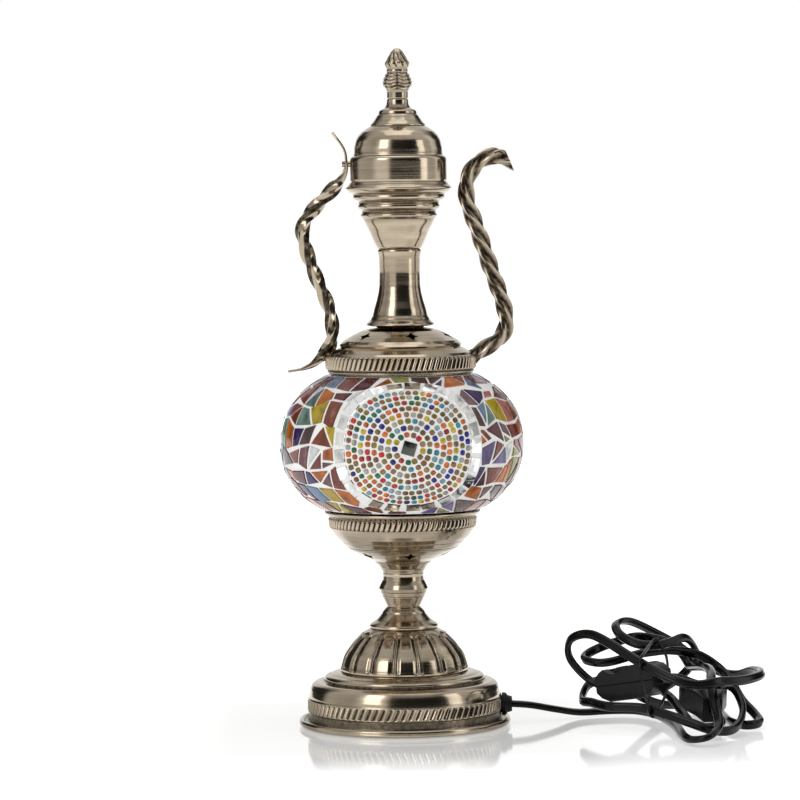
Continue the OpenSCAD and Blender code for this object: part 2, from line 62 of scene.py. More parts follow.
# ------------------------------------------------------------------ material helpers
class Mat:
    """Small helper round a material's node tree."""

    def __init__(self, name):
        self.m = bpy.data.materials.new(name)
        self.m.use_nodes = True
        self.t = self.m.node_tree
        self.b = self.t.nodes["Principled BSDF"]
        self.co = self.t.nodes.new("ShaderNodeTexCoord").outputs["Object"]

    def node(self, kind, **k):
        n = self.t.nodes.new(kind)
        for a, v in k.items():
            setattr(n, a, v)
        return n

    def link(self, a, b):
        self.t.links.new(a, b)

    def math(self, op, a, b=None, clamp=False):
        n = self.node("ShaderNodeMath", operation=op, use_clamp=clamp)
        for i, v in enumerate((a, b)):
            if v is None:
                continue
            if isinstance(v, (int, float)):
                n.inputs[i].default_value = v
            else:
                self.link(v, n.inputs[i])
        return n.outputs[0]

    def noise(self, scale, detail=3.0, rough=0.55, vec=None, stretch=None):
        n = self.node("ShaderNodeTexNoise")
        n.inputs["Scale"].default_value = scale
        n.inputs["Detail"].default_value = detail
        n.inputs["Roughness"].default_value = rough
        v = vec or self.co
        if stretch:
            mp = self.node("ShaderNodeMapping")
            mp.inputs["Scale"].default_value = stretch
            self.link(v, mp.inputs["Vector"])
            v = mp.outputs["Vector"]
        self.link(v, n.inputs["Vector"])
        return n.outputs["Fac"]

    def ramp(self, fac, stops):
        n = self.node("ShaderNodeValToRGB")
        e = n.color_ramp.elements
        while len(e) < len(stops):
            e.new(0.5)
        for i, (p, c) in enumerate(stops):
            e[i].position = p
            e[i].color = c if len(c) == 4 else (*c, 1)
        self.link(fac, n.inputs["Fac"])
        return n.outputs["Color"]

    def span(self, fac, lo, hi, a=0.0, b=1.0):
        n = self.node("ShaderNodeMapRange")
        n.inputs["From Min"].default_value = a
        n.inputs["From Max"].default_value = b
        n.inputs["To Min"].default_value = lo
        n.inputs["To Max"].default_value = hi
        self.link(fac, n.inputs["Value"])
        return n.outputs["Result"]

    def mix(self, fac, a, b, blend="MIX"):
        n = self.node("ShaderNodeMix", data_type="RGBA", blend_type=blend)
        for s, v in ((n.inputs["Factor"], fac), (n.inputs["A"], a), (n.inputs["B"], b)):
            pass
        ins = [i for i in n.inputs if i.enabled]
        for s, v in zip(ins, (fac, a, b)):
            if isinstance(v, (int, float)):
                s.default_value = v
            elif isinstance(v, tuple):
                s.default_value = (*v, 1)
            else:
                self.link(v, s)
        return [o for o in n.outputs if o.enabled][0]

    def attr(self, name):
        n = self.node("ShaderNodeAttribute", attribute_name=name)
        return n

    def bump(self, height, strength, dist, prev=None):
        n = self.node("ShaderNodeBump")
        n.inputs["Strength"].default_value = strength
        n.inputs["Distance"].default_value = dist
        self.link(height, n.inputs["Height"])
        if prev:
            self.link(prev, n.inputs["Normal"])
        return n.outputs["Normal"]

    def set(self, **k):
        for a, v in k.items():
            self.b.inputs[a.replace("_", " ")].default_value = v

    def to(self, name, out):
        self.link(out, self.b.inputs[name])


def brass_mat(name, spun, shaded_grooves=()):
    q = Mat(name)
    q.set(Metallic=1.0)
    if spun:
        sep = q.node("ShaderNodeSeparateXYZ")
        q.link(q.co, sep.inputs[0])
        xx = q.math("MULTIPLY", sep.outputs[0], sep.outputs[0])
        yy = q.math("MULTIPLY", sep.outputs[1], sep.outputs[1])
        r = q.math("SQRT", q.math("ADD", xx, yy))
        th = q.math("ARCTAN2", sep.outputs[1], sep.outputs[0])
        c = q.node("ShaderNodeCombineXYZ")
        q.link(q.math("MULTIPLY", r, 2600.0), c.inputs[0])
        q.link(q.math("MULTIPLY", th, 0.9), c.inputs[1])
        q.link(q.math("MULTIPLY", sep.outputs[2], 2600.0), c.inputs[2])
        streak = q.noise(1.0, 2.0, 0.6, vec=c.outputs[0])
        c2 = q.node("ShaderNodeCombineXYZ")
        q.link(q.math("MULTIPLY", r, 420.0), c2.inputs[0])
        q.link(q.math("MULTIPLY", th, 0.5), c2.inputs[1])
        q.link(q.math("MULTIPLY", sep.outputs[2], 420.0), c2.inputs[2])
        band = q.noise(1.0, 2.0, 0.5, vec=c2.outputs[0])
        tan = q.node("ShaderNodeTangent", direction_type="RADIAL", axis="Z")
        q.link(tan.outputs[0], q.b.inputs["Tangent"])
        q.set(Anisotropic=0.35)
    else:
        streak = q.noise(1500, 3.0, 0.6)
        band = q.noise(140, 3.0, 0.5)
        q.set(Anisotropic=0.0)
    blotch = q.noise(55, 4.0, 0.55)
    v = q.math("ADD", q.math("MULTIPLY", streak, 0.22), q.math("MULTIPLY", band, 0.33))
    v = q.math("ADD", v, q.math("MULTIPLY", blotch, 0.45))
    base = q.ramp(v, [(0.28, (0.27, 0.215, 0.150)), (0.50, (0.39, 0.325, 0.240)),
                      (0.72, (0.53, 0.455, 0.358))])
    rec = q.attr("recess").outputs["Fac"]
    groove = None
    # Each turned groove (z, width, strength) gets a dent bump and painted shade along its line.
    for z0, w, k in shaded_grooves:
        d = q.math("ABSOLUTE", q.math("SUBTRACT", sep.outputs[2], z0 / 1000))
        h = q.math("MULTIPLY", q.math("MAXIMUM", q.math("SUBTRACT", 1.0, q.math("DIVIDE", d, w / 1000)), 0.0), k)
        groove = q.math("ADD", groove, h) if groove else h
    if groove:
        rec = q.math("ADD", rec, groove, clamp=True)
    # Painted shade: the recess mask and the grooves pull the base colour towards near-black (0.030, 0.021, 0.014), with
    # a little noise, in place of the shade that falls in hollows and valleys.
    painted_recess_shade = q.math("MULTIPLY", rec, q.span(q.noise(420, 3.0, 0.6), 0.75, 1.25, 0.3, 0.7), clamp=True)
    base = q.mix(painted_recess_shade, base, (0.030, 0.021, 0.014))
    q.to("Base Color", base)
    rough = q.span(streak, 0.09, 0.18, 0.3, 0.7)
    q.to("Roughness", q.math("ADD", rough, q.math("MULTIPLY", rec, 0.22), clamp=True))
    fine = q.bump(streak, 0.07, 0.00005, q.bump(band, 0.06, 0.00010))
    if groove:
        fine = q.bump(q.math("MULTIPLY", groove, -1.0), 0.6, 0.0004, fine)
    q.to("Normal", fine)
    return q.m


def simple_mat(name, lo, hi, rough=(0.35, 0.5), scale=400, metallic=0.0, bump=0.15, dist=0.00008,
               detail=4.0, **sets):
    q = Mat(name)
    n = q.noise(scale, detail, 0.55)
    big = q.noise(scale * 0.08, 2.0, 0.5)
    f = q.math("ADD", q.math("MULTIPLY", n, 0.5), q.math("MULTIPLY", big, 0.5))
    q.to("Base Color", q.ramp(f, [(0.3, lo), (0.7, hi)]))
    q.to("Roughness", q.span(n, rough[0], rough[1], 0.3, 0.7))
    q.to("Normal", q.bump(n, bump, dist))
    q.set(Metallic=metallic)
    for a, v in sets.items():
        q.b.inputs[a.replace("_", " ")].default_value = v
    return q.m


def glass_mat(name, colour, rough, trans=1.0):
    q = Mat(name)
    n = q.noise(120, 3.0, 0.5)
    q.to("Base Color", q.ramp(n, [(0.3, tuple(c * 0.93 for c in colour)), (0.7, colour)]))
    q.to("Roughness", q.span(n, rough, rough + 0.06, 0.3, 0.7))
    q.b.inputs["Transmission Weight"].default_value = trans
    q.b.inputs["IOR"].default_value = 1.5
    return q.m


MB = brass_mat("antique_brass_spun", True)
MC = brass_mat("antique_brass_cast", False)
MBOWL = brass_mat("antique_brass_bowl", True, [(96.4, 0.30, 0.6), (93.5, 0.55, 0.8), (92.6, 0.3, 0.4), (85.3, 0.4, 0.7),
                                               (82.0, 0.35, 0.5), (79.6, 0.35, 0.6), (69.6, 0.4, 0.6), (67.4, 0.3, 0.5)])
M = {
    "antique_brass": MB,
    "plated_steel": simple_mat("plated_steel", (0.42, 0.41, 0.39), (0.62, 0.61, 0.58), (0.22, 0.36), 900, 1.0),
    "plain_brass": simple_mat("plain_brass", (0.55, 0.40, 0.16), (0.74, 0.58, 0.27), (0.2, 0.34), 900, 1.0),
    "black_sheet": simple_mat("black_sheet", (0.025, 0.025, 0.025), (0.05, 0.05, 0.05), (0.45, 0.6), 700),
    "felt": simple_mat("felt", (0.015, 0.015, 0.016), (0.05, 0.05, 0.052), (0.85, 1.0), 2600, 0.0, 0.7, 0.0003,
                       Sheen_Weight=0.4),
    "black_rubber": simple_mat("black_rubber", (0.006, 0.006, 0.006), (0.013, 0.013, 0.013), (0.38, 0.55), 1200, Specular_IOR_Level=0.2),
    "flex_black": simple_mat("flex_black", (0.0012, 0.0012, 0.0014), (0.0038, 0.0038, 0.0042), (0.12, 0.20), 260, 0.0,
                             0.05, 0.00005, Specular_IOR_Level=0.2),
    "tie_black": simple_mat("tie_black", (0.005, 0.005, 0.005), (0.012, 0.012, 0.012), (0.22, 0.35), 900, Specular_IOR_Level=0.25),
    "black_plastic": simple_mat("black_plastic", (0.0025, 0.0025, 0.003), (0.006, 0.006, 0.0065), (0.22, 0.36), 1600, 0.0,
                                0.2, 0.00005, Specular_IOR_Level=0.16),
    "pale_plastic": simple_mat("pale_plastic", (0.66, 0.62, 0.53), (0.78, 0.75, 0.67), (0.35, 0.5), 900),
    "bulb_cap": simple_mat("bulb_cap", (0.58, 0.58, 0.56), (0.76, 0.76, 0.74), (0.2, 0.32), 800, 1.0),
    "bulb_glass": glass_mat("bulb_glass", (0.95, 0.95, 0.93), 0.35, 0.35),
    "globe_glass": glass_mat("globe_glass", (0.93, 0.96, 0.96), 0.04),
    "switch_grey": simple_mat("switch_grey", (0.006, 0.006, 0.0072), (0.013, 0.013, 0.0145), (0.26, 0.38), 2200, 0.0,
                              0.3, 0.00005, Specular_IOR_Level=0.2),
    "wheel_black": simple_mat("wheel_black", (0.006, 0.006, 0.006), (0.013, 0.013, 0.013), (0.3, 0.45), 1500, Specular_IOR_Level=0.25),
}


def tint_mat(name, rough, metallic, mottled, coat):
    """Glass pieces whose colour comes from the piece's own tint."""
    q = Mat(name)
    tint = q.attr("tint").outputs["Color"]
    swirl = q.noise(mottled, 4.0, 0.65, stretch=(1.0, 1.0, 0.55))
    dark = q.mix(q.span(swirl, 0.0, 0.70, 0.46, 0.68), tint, (0.008, 0.005, 0.006))
    light = q.mix(q.span(swirl, 0.0, 0.10, 0.44, 0.28), dark, (1.0, 0.96, 0.90))
    edge = q.attr("edge").outputs["Fac"]
    q.to("Base Color", q.mix(q.math("MULTIPLY", edge, 0.55), light, tint))
    q.b.inputs["Specular IOR Level"].default_value = 0.3
    q.to("Roughness", q.span(swirl, rough, rough + 0.08, 0.3, 0.7))
    q.to("Normal", q.bump(q.noise(240, 2.0, 0.5), 0.12, 0.0003))
    q.set(Metallic=metallic)
    q.b.inputs["Coat Weight"].default_value = coat
    q.b.inputs["Coat Roughness"].default_value = 0.03
    return q.m


TILE = tint_mat("stained_glass", 0.12, 0.0, 130, 0.25)
BEAD = tint_mat("seed_bead_glass", 0.10, 0.0, 400, 0.3)
MIRROR = tint_mat("mirror_strip", 0.045, 1.0, 90, 0.0)
GROUT = simple_mat("grout", (0.74, 0.735, 0.715), (0.86, 0.855, 0.84), (0.6, 0.8), 900, 0.0, 0.35, 0.00015)


# ------------------------------------------------------------------ mesh helpers
def make(name, verts, faces, mat, body, replaces=(), recess=None, sharp=35, tint=None, edge=None):
    """A mesh piece from millimetre points, riding on a body."""
    me = bpy.data.meshes.new(name)
    me.from_pydata((np.asarray(verts, float) / 1000.0).tolist(), [], [tuple(int(i) for i in f) for f in faces])
    me.validate()
    for key, val in (("recess", recess), ("edge", edge)):
        if val is not None:
            a = me.attributes.new(key, "FLOAT", "POINT")
            a.data.foreach_set("value", np.asarray(val, np.float32).ravel())
    if tint is not None:
        a = me.attributes.new("tint", "FLOAT_COLOR", "POINT")
        a.data.foreach_set("color", np.asarray(tint, np.float32).ravel())
    bm = bmesh.new()
    bm.from_mesh(me)
    bmesh.ops.remove_doubles(bm, verts=bm.verts, dist=2e-7)
    bmesh.ops.recalc_face_normals(bm, faces=bm.faces)
    lim = math.radians(sharp)
    for f in bm.faces:
        f.smooth = True
    for e in bm.edges:
        if len(e.link_faces) == 2 and e.calc_face_angle(0) > lim:
            e.smooth = False
    bm.to_mesh(me)
    bm.free()
    ob = bpy.data.objects.new(name, me)
    scene.collection.objects.link(ob)
    me.materials.append(mat)
    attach(ob, body)
    if replaces:
        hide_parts(*replaces)
    return ob


def round_profile(P, cut=0.25, times=2):
    """Rounds the corners of a closed profile a little."""
    P = np.asarray(P, float)
    for _ in range(times):
        out = []
        n = len(P)
        for i in range(n):
            a, b = P[i], P[(i + 1) % n]
            d = np.linalg.norm(b - a)
            k = min(cut, 0.35 / max(d, 1e-6))
            out += [a + (b - a) * k, b - (b - a) * k]
        P = np.array(out)
    return P


def dense(P, step):
    out = []
    n = len(P)
    for i in range(n):
        a, b = P[i], P[(i + 1) % n]
        k = max(1, int(math.ceil(np.linalg.norm(b - a) / step(a, b))))
        for j in range(k):
            out.append(a + (b - a) * j / k)
    return np.array(out)


def smooth(x, a, b):
    t = np.clip((x - a) / (b - a), 0, 1)
    return t * t * (3 - 2 * t)


def lathe(P, seg, mod=None):
    """Vertices, faces and recess (the mask of painted shade) of a closed profile turned about Z. mod(R, Z, T) returns
    new R, Z and recess.
    """
    P = np.asarray(P, float)
    k = len(P)
    T = np.linspace(0, TAU, seg, endpoint=False)
    Tm, R = np.meshgrid(T, P[:, 0], indexing="ij")
    Z = np.broadcast_to(P[:, 1], R.shape).copy()
    rec = np.zeros_like(R)
    if mod:
        R, Z, rec = mod(R, Z, Tm)
    V = np.stack([R * np.cos(Tm), R * np.sin(Tm), Z], -1).reshape(-1, 3)
    i = np.arange(seg)[:, None] * k
    i2 = ((np.arange(seg) + 1) % seg)[:, None] * k
    j = np.arange(k)[None, :]
    j2 = (j + 1) % k
    F = np.stack([i + j, i2 + j, i2 + j2, i + j2], -1).reshape(-1, 4)
    return V, F, rec.reshape(-1)


def outer_mask(P, pred):
    return np.array([1.0 if pred(r, z) else 0.0 for r, z in P])


def cavity(P):
    """Recess of a profile where it is hollow, from the turn of its line; it marks where painted shade darkens the
    turned brass.
    """
    P = np.asarray(P, float)
    n = len(P)
    area = 0.5 * np.sum(P[:, 0] * np.roll(P[:, 1], -1) - np.roll(P[:, 0], -1) * P[:, 1])
    s = 1 if area > 0 else -1
    out = np.zeros(n)
    for i in range(n):
        acc = 0.0
        for w in (1, 2, 3):
            a, b, c = P[i - w], P[i], P[(i + w) % n]
            u, v = b - a, c - b
            acc += s * (u[0] * v[1] - u[1] * v[0]) / (np.linalg.norm(u) * np.linalg.norm(v) + 1e-9)
        out[i] = max(0.0, -acc / 3)
    return np.clip(out * 1.3, 0, 0.85)


# ------------------------------------------------------------------ flex, switch, plug and tie
CORD_A = [[56, 0, 10], [66, 1, 9], [79, 6, 6], [92, 15, 3], [108, 21, 2.7],
          [122, 19, 2.7], [131, 4, 2.7], [136, -16, 2.7], [139, -44, 2.7], [140, -74, 2.7],
          [143, -90, 3], [151, -95, 5], [157, -84, 9], [157, -67, 16], [156, -53, 25],
          [157, -40, 29], [157, -24, 30], [155, -8, 29], [153, 8, 27], [151, 21, 26],
          [147, 29, 32], [139, 27, 38], [131, 20, 41], [122, 19, 42], [113, 25, 39],
          [105, 28, 36], [97, 22, 33], [95, 13, 31], [102, 7, 30], [110, 6, 31], [122, 8, 34],
          [131, 11, 35], [141, 16, 35], [155, 21, 32], [166, 19, 25], [172, 9, 18], [176, -7, 11],
          [181, -22, 6], [182, -36, 3.5], [174, -41, 3], [168, -27, 3], [166, 5, 3], [162, 22, 3],
          [150, 30, 4], [136, 19, 6], [124, 6, 12], [115, 1, 19], [106, 0, 22], [96, -4, 20],
          [92, -17, 14], [96, -29, 14], [104, -45, 14], [120, -52, 14], [131, -60, 12],
          [142, -67, 9], [155, -72, 5], [165, -65, 4], [171, -51, 7], [173, -36, 13],
          [168, -25, 21], [152, -34, 23], [139, -42, 28], [129, -34, 26]]
CORD_B = [[107, -18, 22], [101, -13, 21], [94, -9, 25], [87, -9, 33], [85, -12, 40],
          [87, -17, 46], [94, -25, 49], [102, -33, 47], [120, -50, 37], [135, -61, 30],
          [147, -64, 27], [160, -60, 28], [173, -48, 27], [182, -32, 27], [185, -15, 27],
          [182, 6, 25], [176, 22, 21], [168, 34, 21], [157, 41, 26], [147, 41, 34],
          [134, 36, 42], [120, 30, 49], [112, 19, 49], [113, 6, 45], [121, -2, 41], [131, -3, 40],
          [140, 4, 41], [147, 13, 42], [152, 22, 38], [155, 30, 30], [149, 33, 21], [139, 24, 15],
          [131, 8, 15], [131, -10, 19], [137, -28, 16], [142, -40, 10], [146, -53, 6],
          [154, -59, 5], [161, -50, 6], [158, -34, 10]]
TIE = [[133, -3, 43.5], [129, -12, 43], [121, -51, 40.5], [120, -54, 37],
       [121, -51, 27], [123, -58, 17], [124, -58, 12], [126, -54, 10], [128, -46, 11], [133, -38, 17],
       [136, -22, 26], [136, -8, 36], [131, -1, 43.2]]


def spline(P, n):
    P = np.asarray(P, float)
    Q = np.vstack([2 * P[0] - P[1], P, 2 * P[-1] - P[-2]])
    out = []
    for i in range(1, len(Q) - 2):
        a, b, c, d = Q[i - 1:i + 3]
        for k in range(n):
            t = k / n
            out.append(0.5 * (2 * b + (c - a) * t + (2 * a - 5 * b + 4 * c - d) * t * t
                              + (3 * b - a - 3 * c + d) * t ** 3))
    out.append(Q[-2])
    return np.array(out)


def frames(C, n0):
    T = np.gradient(C, axis=0)
    T /= np.linalg.norm(T, axis=1)[:, None]
    N = []
    n = np.array(n0, float)
    for t in T:
        n = n - n.dot(t) * t
        n /= np.linalg.norm(n)
        N.append(n.copy())
    N = np.array(N)
    return T, N, np.cross(T, N)


def sweep(C, sections, n0, recess=None):
    """Closed tube: sections is (k, m, 2), one closed section for each point of C."""
    C = np.asarray(C, float)
    T, N, B = frames(C, n0)
    S = np.broadcast_to(sections, (len(C),) + np.shape(sections)[-2:])
    V = C[:, None] + S[..., :1] * N[:, None] + S[..., 1:] * B[:, None]
    k, m = V.shape[:2]
    F = []
    for i in range(k - 1):
        for j in range(m):
            j2 = (j + 1) % m
            F.append((i * m + j, i * m + j2, (i + 1) * m + j2, (i + 1) * m + j))
    F.append(tuple(range(m)))
    F.append(tuple((k - 1) * m + j for j in range(m - 1, -1, -1)))
    return V.reshape(-1, 3), F


def twin_section(w, t, n=24):
    """Section of a flat twin flex: two round lobes with a shallow groove."""
    out = []
    for j in range(n):
        a = TAU * j / n
        x, y = math.cos(a), math.sin(a)
        u = w / 2 * math.copysign(abs(x) ** 0.85, x)
        v = t / 2 * math.copysign(abs(y) ** 0.8, y) * (1 - 0.17 * math.exp(-(u / (0.13 * w)) ** 2))
        out.append((v, u))
    return np.array(out)


ca, cb, ct = spline(CORD_A, 7), spline(CORD_B, 7), spline(TIE, 7)
flex = twin_section(4.9, 3.7)
V, F = sweep(ca, flex, (0, 0, 1))
supply = make("supply_flex", V, F, M["flex_black"], "base", ["supply_cord"], sharp=60)
V, F = sweep(cb, flex, (0, 0, 1))
plugflex = make("plug_flex", V, F, M["flex_black"], "base", ["plug_cord"], sharp=60)


def rot(axis, deg):
    return Matrix.Rotation(math.radians(deg), 4, axis)


AT_SWITCH = Matrix.Translation((118, -26, 24)) @ rot("Z", -37) @ rot("Y", -10)
AT_PLUG = Matrix.Translation((158, -36, 10)) @ rot("Z", 97) @ rot("Y", -12)


def placed(V, mat4):
    A = np.array(mat4)
    return np.asarray(V) @ A[:3, :3].T + A[:3, 3]


# ribbed thumb wheel
wp = dense(np.array([(1.62, -3.5), (2.6, -3.55), (5.6, -3.55), (6.05, -3.3), (6.25, -2.9), (6.25, 2.9), (6.05, 3.3),
                     (5.6, 3.55), (2.6, 3.55), (1.62, 3.5)]), lambda a, b: 0.9)


def ribs(R, Z, T):
    u = 0.5 + 0.5 * np.cos(T * 26)
    k = smooth(R, 5.4, 6.1)
    return R - 0.42 * k * (1 - smooth(u, 0.15, 0.7)), Z, 0 * R


V, F, rec = lathe(wp, 208, ribs)
V = V[:, [0, 2, 1]]
V = placed(V + np.array([-5, 0, 2.6]), AT_SWITCH)
wheel = make("thumb_wheel_ribbed", V, F, M["wheel_black"], "thumb_wheel", ["switch_wheel"])

# flat twist tie with a wire rib
tie_sec = np.array([(0.75 * (0.55 + 0.45 * math.exp(-(math.cos(TAU * j / 16) / 0.35) ** 2)) * math.sin(TAU * j / 16),
                     1.15 * math.cos(TAU * j / 16)) for j in range(16)])
V, F = sweep(ct, tie_sec, (1, 0, 0))
tie = make("twist_tie", V, F, M["tie_black"], "base", ["hank_tie"], sharp=60)


def soften(node, width, segs=3, angle=28):
    """Rounds the edges of a moulded CAD part with modifiers."""
    o = NODES[node]
    w = o.modifiers.new("weld", "WELD")
    w.merge_threshold = 2e-6
    b = o.modifiers.new("round", "BEVEL")
    b.width = width
    b.segments = segs
    b.limit_method = "ANGLE"
    b.angle_limit = math.radians(angle)
    b.harden_normals = False
    for p in o.data.polygons:
        p.use_smooth = True
    n = o.modifiers.new("normals", "WEIGHTED_NORMAL")
    n.keep_sharp = False


# ------------------------------------------------------------------ rope bands
def rope(n, z0, z1, slant, depth, r_from, fade=0.8, power=1.0, dark=1.0, wave=0.0):
    """Rounded slanting teeth on the outside of a ring between z0 and z1, with painted shade in the valleys between the
    teeth, scaled by dark.
    """
    def mod(R, Z, T):
        h = np.clip((Z - z0) / (z1 - z0), 0, 1)
        u = n * T / TAU - slant * h + wave * np.sin(h * math.pi)
        c = np.abs(np.cos(math.pi * u))
        tooth = c ** power
        k = smooth(Z, z0, z0 + fade) * (1 - smooth(Z, z1 - fade, z1)) * (R > r_from)
        cut = k * (1 - tooth)
        return R - depth * cut, Z, np.clip(dark * 1.15 * k * smooth(1 - tooth, 0.25, 0.8), 0, 1)
    return mod


def combine(P, mod):
    cav = cavity(P)

    def f(R, Z, T):
        R2, Z2, rec = mod(R, Z, T) if mod else (R, Z, np.zeros_like(R))
        return R2, Z2, np.clip(np.maximum(rec, cav[None, :]), 0, 1)
    return f


def ring(name, prof, seg, mod, node, body, fine, mat=None, times=2):
    P = dense(round_profile(prof, times=times), fine)
    V, F, rec = lathe(P, seg, combine(P, mod))
    return make(name, V, F, mat or MB, body, [node] if isinstance(node, str) else node, recess=rec,
                sharp=70)


PLINTH = [[5.3, 28.5], [34.5, 28.5], [37, 28], [38.8, 27], [40.3, 26.8], [41.4, 26],
          [41.9, 24.9], [41.6, 23.9], [42.4, 23.5], [46.3, 23.2], [48.4, 21.9], [49.3, 19.8],
          [50.2, 16.2], [50.3, 15], [50.7, 14.4], [50.7, 8], [50.2, 7.4], [50.2, 3.4], [51.2, 2.6], [52.4, 2.6],
          [53, 3.4], [54.1, 4.1], [55.1, 3.3], [55.3, 2],
          [54.8, 0.7], [53.6, 0.2], [52.2, 0.6], [51.2, 1.6], [49.3, 1.8], [48.9, 3], [48.9, 8],
          [48.9, 14.3], [48.7, 16], [47.9, 19.4], [47.1, 21.2], [45.5, 22], [42, 22.3],
          [40.7, 23], [40.5, 24.8], [40.1, 25.4], [39.6, 25.7], [38.6, 25.9], [36.6, 27],
          [34.4, 27.5], [5.3, 27.5]]


def band_step(z0, z1, r0, near=0.55, far=1.6):
    return lambda a, b: near if (min(a[1], b[1]) >= z0 - 0.6 and max(a[1], b[1]) <= z1 + 0.6 and max(a[0], b[0]) >= r0) else far


plinth_rope = rope(84, 8.0, 14.3, 0.72, 1.3, 49.6, 0.8, 0.75)


def plinth_mod(R, Z, T):
    R2, Z2, rec = plinth_rope(R, Z, T)
    # Painted shade: a dark band in the recess above the foot lip and a dark line at the step near z 24.2.
    low = smooth(Z, 2.5, 3.0) * (1 - smooth(Z, 7.3, 7.9)) * (R > 49.9) * (R < 52.9)
    step = np.exp(-((Z - 24.2) / 0.7) ** 2) * (R > 41.2) * (R < 42.6)
    return R2, Z2, np.clip(rec + 0.68 * low + 0.6 * step, 0, 0.95)


ring("plinth_turned", PLINTH, 1008, plinth_mod, "base_plinth", "base",
     band_step(8, 14.4, 49.6))

UPPER = [[35, 184.3], [38, 184.3], [38.4, 185], [37.8, 185.7], [38.9, 186.2], [39.3, 187],
         [39.3, 192], [38.9, 192.8], [37.6, 193.5], [36, 193.5], [36.9, 192], [36.9, 187.8],
         [36.3, 186.4], [35, 186]]


def upper_mod(R, Z, T):
    R2, Z2, rec = rope(80, 186.3, 193.3, 0.75, 1.55, 37.9, 0.8, 0.75)(R, Z, T)
    # A row of small dents, each darkened with painted shade.
    dots = (R > 37.3) * np.exp(-((Z - 185.75) / 0.35) ** 2) * smooth(np.cos(T * 110), -0.2, 0.5)
    return R2 - 0.25 * dots, Z2, np.clip(rec + dots, 0, 1)


ring("upper_gallery_rope", UPPER, 960, upper_mod, "upper_gallery", "ewer_top", band_step(184, 193.5, 37))

LOWER = [[36.05, 101.0], [37.1, 102.4], [38.1, 104], [38.6, 105], [38.75, 108.4], [38.2, 109.2], [38.8, 109.9],
         [40.1, 110.7], [40.8, 111.6], [40.7, 112.3], [40.1, 112.6], [39.2, 112.2], [38.8, 111.2],
         [34.5, 111], [34.5, 109.8], [36.4, 109.4], [37, 108.6], [37.1, 104.1], [36.2, 102.6], [35.5, 101.1]]


def lower_mod(R, Z, T):
    n = 84
    h = np.clip((Z - 101) / 8.2, 0, 1)
    u = n * T / TAU - 0.25 * h + 0.12 * np.sin(h * 5)
    tooth = np.abs(np.cos(math.pi * u)) ** 0.75
    k = smooth(Z, 101.2, 105.5) * (1 - smooth(Z, 108.6, 109.3)) * (R > 37.3)
    # Painted shade in the valleys between the rope teeth.
    return R - 1.15 * k * (1 - tooth), Z, np.clip(k * smooth(1 - tooth, 0.2, 0.75) * 1.25, 0, 1)


ring("lower_gallery_rope", LOWER, 1008, lower_mod, "lower_gallery", "base", band_step(100, 110, 36.4))

# fluted dome: sixteen petals with scalloped tops between double ridges
DOME = [[5.3, 50.8], [17.5, 50.8], [20.8, 48.7], [23.7, 46.6], [25.8, 44.5], [27.6, 42.5],
        [29.1, 40.4], [30.7, 38.3], [31.8, 36.2], [32.5, 34], [33.1, 32], [33.4, 30.6], [33.4, 28.5],
        [32.0, 28.5], [31.7, 31.8], [30.8, 33.8], [30.0, 35.9], [28.9, 38], [27.2, 40.1],
        [25.6, 42.1], [23.8, 44.1], [21.8, 46], [19.4, 47.9], [17, 49.8], [5.3, 49.8]]


def dome_mod(R, Z, T):
    v = (16 * (T + math.radians(90 - 2)) / TAU + 0.5) % 1.0
    w = np.abs(2 * v - 1)
    zt = 49.2 - 2.0 * w ** 2.5
    s = smooth(zt - Z, 0.0, 1.0) * smooth(Z, 29.6, 30.9)
    rim = np.exp(-((Z - zt - 0.15) / 0.32) ** 2)
    Ro = np.interp(Z, [28.5, 30.6, 32, 34, 36.2, 38.3, 40.4, 42.5, 44.5, 46.6, 48.7, 50.8],
                   [33.4, 33.4, 33.1, 32.5, 31.8, 30.7, 29.1, 27.6, 25.8, 23.7, 20.8, 17.5])
    out = (R > Ro - 0.62).astype(float)
    panel = -0.25 - 0.95 * smooth(w, 0.45, 0.83) + 0.0 * w
    ridge = -1.2 + 1.15 * smooth(w, 0.83, 0.90) - 0.55 * smooth(w, 0.955, 1.0)
    h = np.where(w < 0.83, panel, ridge)
    h = h * s + 0.18 * rim * (1 - s * 0.5)
    foot = smooth(Z, 29.6, 30.6) * (1 - smooth(Z, 30.9, 32.5))
    # Painted shade beside the ridges, on the petal sides, at the foot and under the scalloped tops.
    rec = s * (np.exp(-((w - 0.84) / 0.045) ** 2) + 0.8 * np.exp(-((w - 1.0) / 0.03) ** 2)) \
        + 0.55 * s * smooth(w, 0.5, 0.84) * (w < 0.86) * 0.5 + 0.35 * foot * (w < 0.85) \
        + 0.6 * s * np.exp(-((zt - Z - 0.7) / 0.5) ** 2)
    nx = 0.8 * np.ones_like(R)
    return R + out * h * nx, Z + out * h * 0.45 * smooth(Z, 36, 46), np.clip(rec * out, 0, 0.95)


ring("fluted_dome_petals", DOME, 960, dome_mod, "fluted_dome", "base",
     lambda a, b: 0.45 if max(a[0], b[0]) > 17.3 and min(a[1], b[1]) >= 28.4 and abs(a[1] - b[1]) > 0.05 else 2.5, times=1)

# finial: grooved leafy bulb with a fluted bud over it
FIN = [[3.06, 326], [5.4, 326], [5.4, 330], [6.6, 331.6], [7.8, 333.2], [7.9, 334.4],
       [7.5, 336], [6.5, 338.4], [5.5, 340], [5.3, 341.6], [6.3, 343.3], [6.5, 344.8],
       [5.5, 346.2], [4.8, 347.6], [3.9, 348.9], [2.8, 350.7], [1.4, 352], [0.02, 352.3],
       [0.02, 336], [3.06, 336]]


